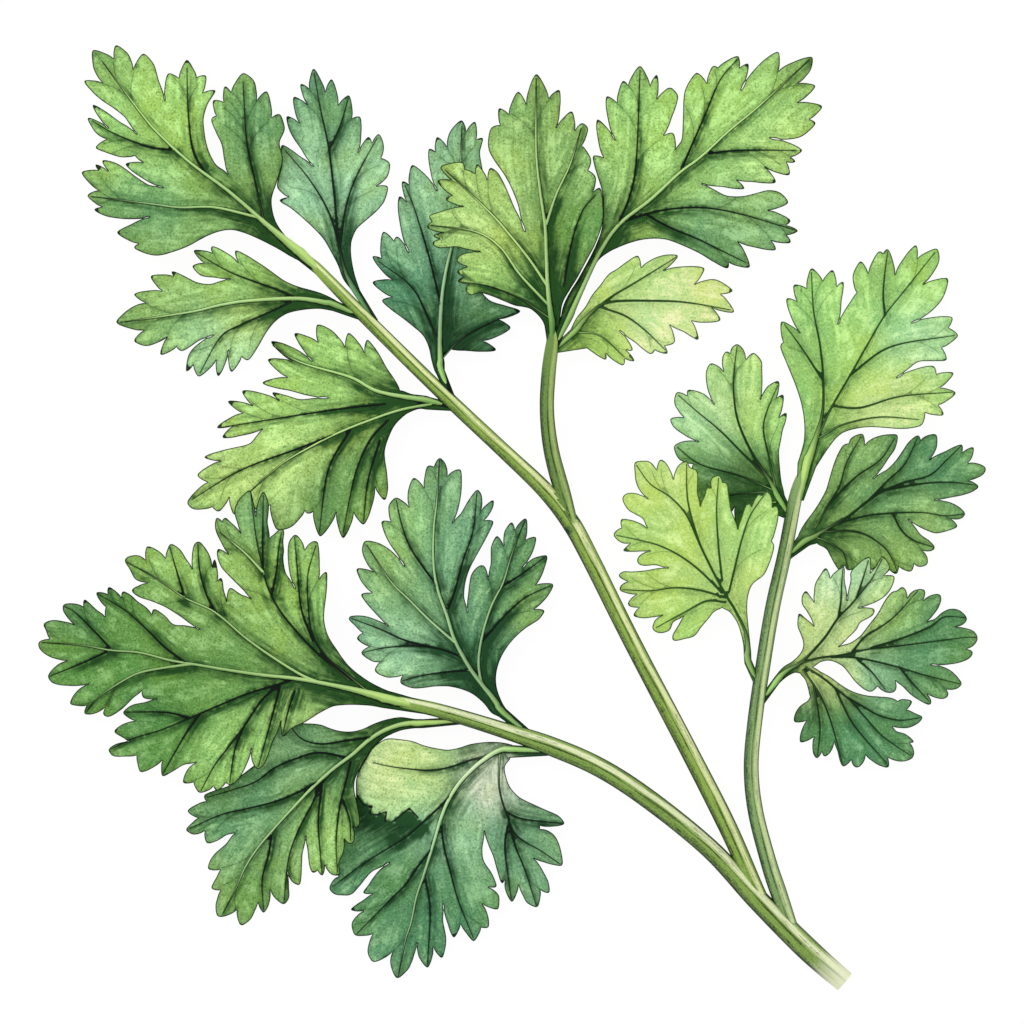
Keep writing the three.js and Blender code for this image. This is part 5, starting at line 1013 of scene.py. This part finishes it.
# The main stem's leaves are the biggest and darkest. The two lowest lie partly under
# their neighbours, and their shade there is painted. They are made as the others are.
make_leaf(
    "left_tip_leaf", slot="leaf_green", base="grass", foot="lime",
    joint=(74, 49.3, 2.9, 0.8), pale=(0, 4, 7, 11), depth=1,
    greens=("moss fresh grass fern grass fresh fresh grass fresh fresh moss moss bottle moss moss "
            "bottle moss fresh fresh fresh lime"),
    ribs=[
        [(63.4, 51.6), (59.2, 52.8), (55.2, 53.8), (48, 55.2), (42.4, 55.8), (36.8, 56.6), (32, 57.4),
         (27.2, 58.2), (22.4, 59.4), (17.6, 59.8), (12.8, 60.6), (6.6, 61)],
        [(59.2, 53), (55.2, 56.3), (52, 59), (50.1, 62.2), (49.4, 66.2), (49.3, 71.8), (50.6, 76.6)],
        [(56, 55), (51.2, 59), (47.7, 62.6), (44.8, 66.2), (42.9, 69.9), (41.8, 74.2), (41, 78.2),
         (40.2, 85)],
        [(42.1, 72.6), (42.1, 77.4), (42.2, 84.6)],
        [(42.1, 72.3), (39.2, 75.4), (35.2, 78.7)],
        [(43.5, 68.6), (44.3, 72.6), (44.6, 75.8), (45.1, 78.7)],
        [(50.1, 61.4), (48.3, 66.2), (47.7, 71.8), (47.2, 77.9)],
        [(51.2, 54.6), (48, 56), (43.2, 59), (39.2, 61.9), (34.4, 65.9), (29.6, 68.2), (25.6, 71),
         (20.3, 73.9)],
        [(34.7, 65.8), (33.1, 68.6), (32, 72.6), (31.7, 76.8)],
        [(29.6, 68.2), (28.5, 71.8), (27.2, 76.3)],
        [(29.6, 57.9), (26.4, 60.3), (23.2, 63.4), (20, 66.2), (15.6, 68.8)],
        [(30.7, 57.6), (26.4, 57), (22.4, 56.2), (19.2, 54.6), (15.7, 52.2), (13.8, 49.9)],
        [(17.9, 59.8), (15.2, 62.7), (12, 65.8), (10.2, 66.8)],
        [(17.6, 59.8), (12.8, 57.6), (7.8, 55.6)],
        [(46.4, 54.9), (40, 53), (36, 51.4), (30.4, 49), (25.6, 47), (21.6, 45.8), (17.7, 44)],
        [(30.4, 49), (26.4, 49.9), (20, 49.9)],
        [(32, 49.6), (29.6, 46.2), (26.2, 40.2)],
        [(44.5, 54.1), (41.9, 51.8), (39.2, 47.8), (36.8, 44.6), (34.4, 41.4), (32.2, 37.4)],
        [(38.9, 47.4), (37.6, 43.8), (36.8, 38.7)],
        [(44.8, 53.8), (43.2, 47.8), (41.4, 41.3)],
        [(47.2, 53.4), (46.1, 49.9), (45.3, 46.4)]])
make_leaf(
    "left_upper_leaf", slot="leaf_blue_green", base="sea", foot="grass",
    joint=(85.2, 45.9, 2.9, 0.5), pale=(0, 1, 4), depth=1,
    # painted shade at the leaf's foot
    patches=[(1, 0.1, 5, "bottle")],
    greens="sea fern fern grass grass mint sea sea fresh sea",
    ribs=[
        [(80.9, 49.2), (79.2, 51.8), (77.6, 53.8), (75.2, 57), (72.8, 61.4), (71.5, 65.4), (70.1, 69.4),
         (69.4, 73.4), (69.4, 79), (69.9, 83.8), (70.3, 90.2)],
        [(77, 54.5), (76.6, 58.2), (77.3, 62.7), (78.7, 67), (80.5, 70.6), (81.6, 74.2), (82.7, 77.4),
         (84, 80.5)],
        [(80, 69.8), (83.2, 71.8), (87.1, 74.6)],
        [(77.3, 61.4), (80.8, 65.4), (84, 68.2), (88, 70.1)],
        [(72.8, 61.1), (68.8, 64.6), (65.6, 67.8), (62.4, 71), (58.7, 76.6)],
        [(74.2, 58.6), (70.4, 60), (66.4, 60.5), (61.6, 60.2), (58.2, 59.5)],
        [(69.6, 60.2), (64.8, 61.4), (60.8, 63.2), (56.2, 64.9)],
        [(71.5, 65.9), (72.8, 69.4), (74.1, 74.2), (75.7, 79), (76.3, 85)],
        [(69.8, 70.2), (65.9, 75.8), (64.3, 79.8), (63.4, 83.8)],
        [(75.2, 56.6), (71.2, 56.3), (67.2, 55.7), (64.4, 54.9)]])
make_leaf(
    "left_lower_outer_leaf", slot="leaf_green", base="grass", foot="lime",
    joint=(74.6, 48.6, 3.1, 0.5), pale=(0,), depth=1,
    # the bottle at rib 1's end and on rib 2's lobe paints the shade under left_tip_leaf
    patches=[(7, 0.3, 4, "fresh"), (1, 0.95, 3, "bottle")],
    greens="sea sea bottle fern grass fresh moss fresh grass",
    ribs=[
        [(68.5, 48.1), (64.8, 48), (61.6, 47), (58.9, 45.3), (56.3, 43), (53.6, 41), (50.4, 38.2),
         (47.2, 34.9), (44, 31.4), (41.3, 28.2), (39.2, 25), (37.6, 21.4), (35.6, 17.6)],
        [(59.5, 45.9), (55.2, 45.3), (51.2, 44.8), (48, 45.8), (45.7, 48.8)],
        [(55.2, 42.7), (50.9, 43.4), (47.2, 42.4), (44, 41), (40.8, 38.7), (37.1, 37.4), (33.1, 36.2)],
        [(51.2, 39), (48.8, 37.6), (44.5, 35.7), (39.5, 34.4), (35.2, 33.4), (30.2, 31.2)],
        [(53.3, 40.6), (51.2, 38.1), (50.1, 35.5), (48.8, 33.1), (47.4, 30.2), (46.1, 26.2),
         (45.4, 19.8)],
        [(56.1, 41.9), (55.2, 38.2), (54.4, 35), (53.9, 31), (53.8, 27.8), (54, 24.4)],
        [(43.5, 30.7), (42.9, 27), (41.9, 23), (42.1, 18.2)],
        [(51.5, 38.2), (50.9, 32.6), (51.2, 27.8), (51.5, 24.2)],
        [(54.9, 35.8), (56, 32.6), (56.1, 29.4)]])
make_leaf(
    "left_lower_inner_leaf", slot="leaf_blue_green", base="sea", foot="fresh",
    joint=(89.4, 43.6, 2.8, 0.5), pale=(0,), depth=0.9,
    nudges=[(59, 42, 5, -0.52, 0.32)],
    # cream near rib 6's foot is a painted highlight
    patches=[(6, 0.2, 5, "cream"), (2, 0.8, 6, "straw"), (3, 0.15, 5, "mint")],
    greens="fern bottle lime fern fern fern sea sea sea sea",
    # folds: the edge of a lobe folded over the blade, with a painted shadow under it
    folds=[
        [(54.8, 38.6), (56.4, 37.6), (58.2, 35), (59.5, 34.8), (59.1, 33.7), (60.3, 33.4), (61.8, 33.9),
         (61.6, 32.4), (62.9, 32.4), (65.1, 34.2), (65.5, 34.5), (66.9, 33)]],
    ribs=[
        [(82.8, 43.9), (80, 43.8), (76.8, 41.8), (73.9, 39), (72, 36.2), (70.6, 33), (69.3, 28.6),
         (67.8, 23.8), (66.6, 20.2), (65.8, 16.3), (64.8, 13.1), (63.7, 7.5)],
        [(72.6, 37.3), (70.6, 35), (68, 32.6), (64.8, 29.8), (61.6, 27.8), (57.6, 25.2), (53.1, 21.8)],
        [(78.4, 43), (75.2, 42.2), (72, 41.1), (68.8, 40.6), (65.6, 40.8), (62.4, 41.2), (59.7, 41.8)],
        [(70.6, 32.3), (71, 28.6), (72, 24.6), (73.3, 19.8), (75.7, 13.8)],
        [(69.2, 28.2), (66.7, 25), (64.8, 22.2), (62.4, 19.8), (57.1, 14.4)],
        [(67.9, 24), (68.8, 18.2), (68.4, 9.4)],
        [(80, 43.2), (79.8, 39), (80.2, 36.2), (81.1, 33.4), (82.2, 30.7), (84, 29.1), (86.4, 27.8),
         (89.6, 25.6)],
        [(81.3, 33), (82.4, 28.6), (84, 24.6), (85.8, 19)],
        [(81, 33.9), (83.7, 32.8), (89.9, 32.1)],
        [(81.2, 31.6), (80.8, 27.8), (81.8, 20)]])
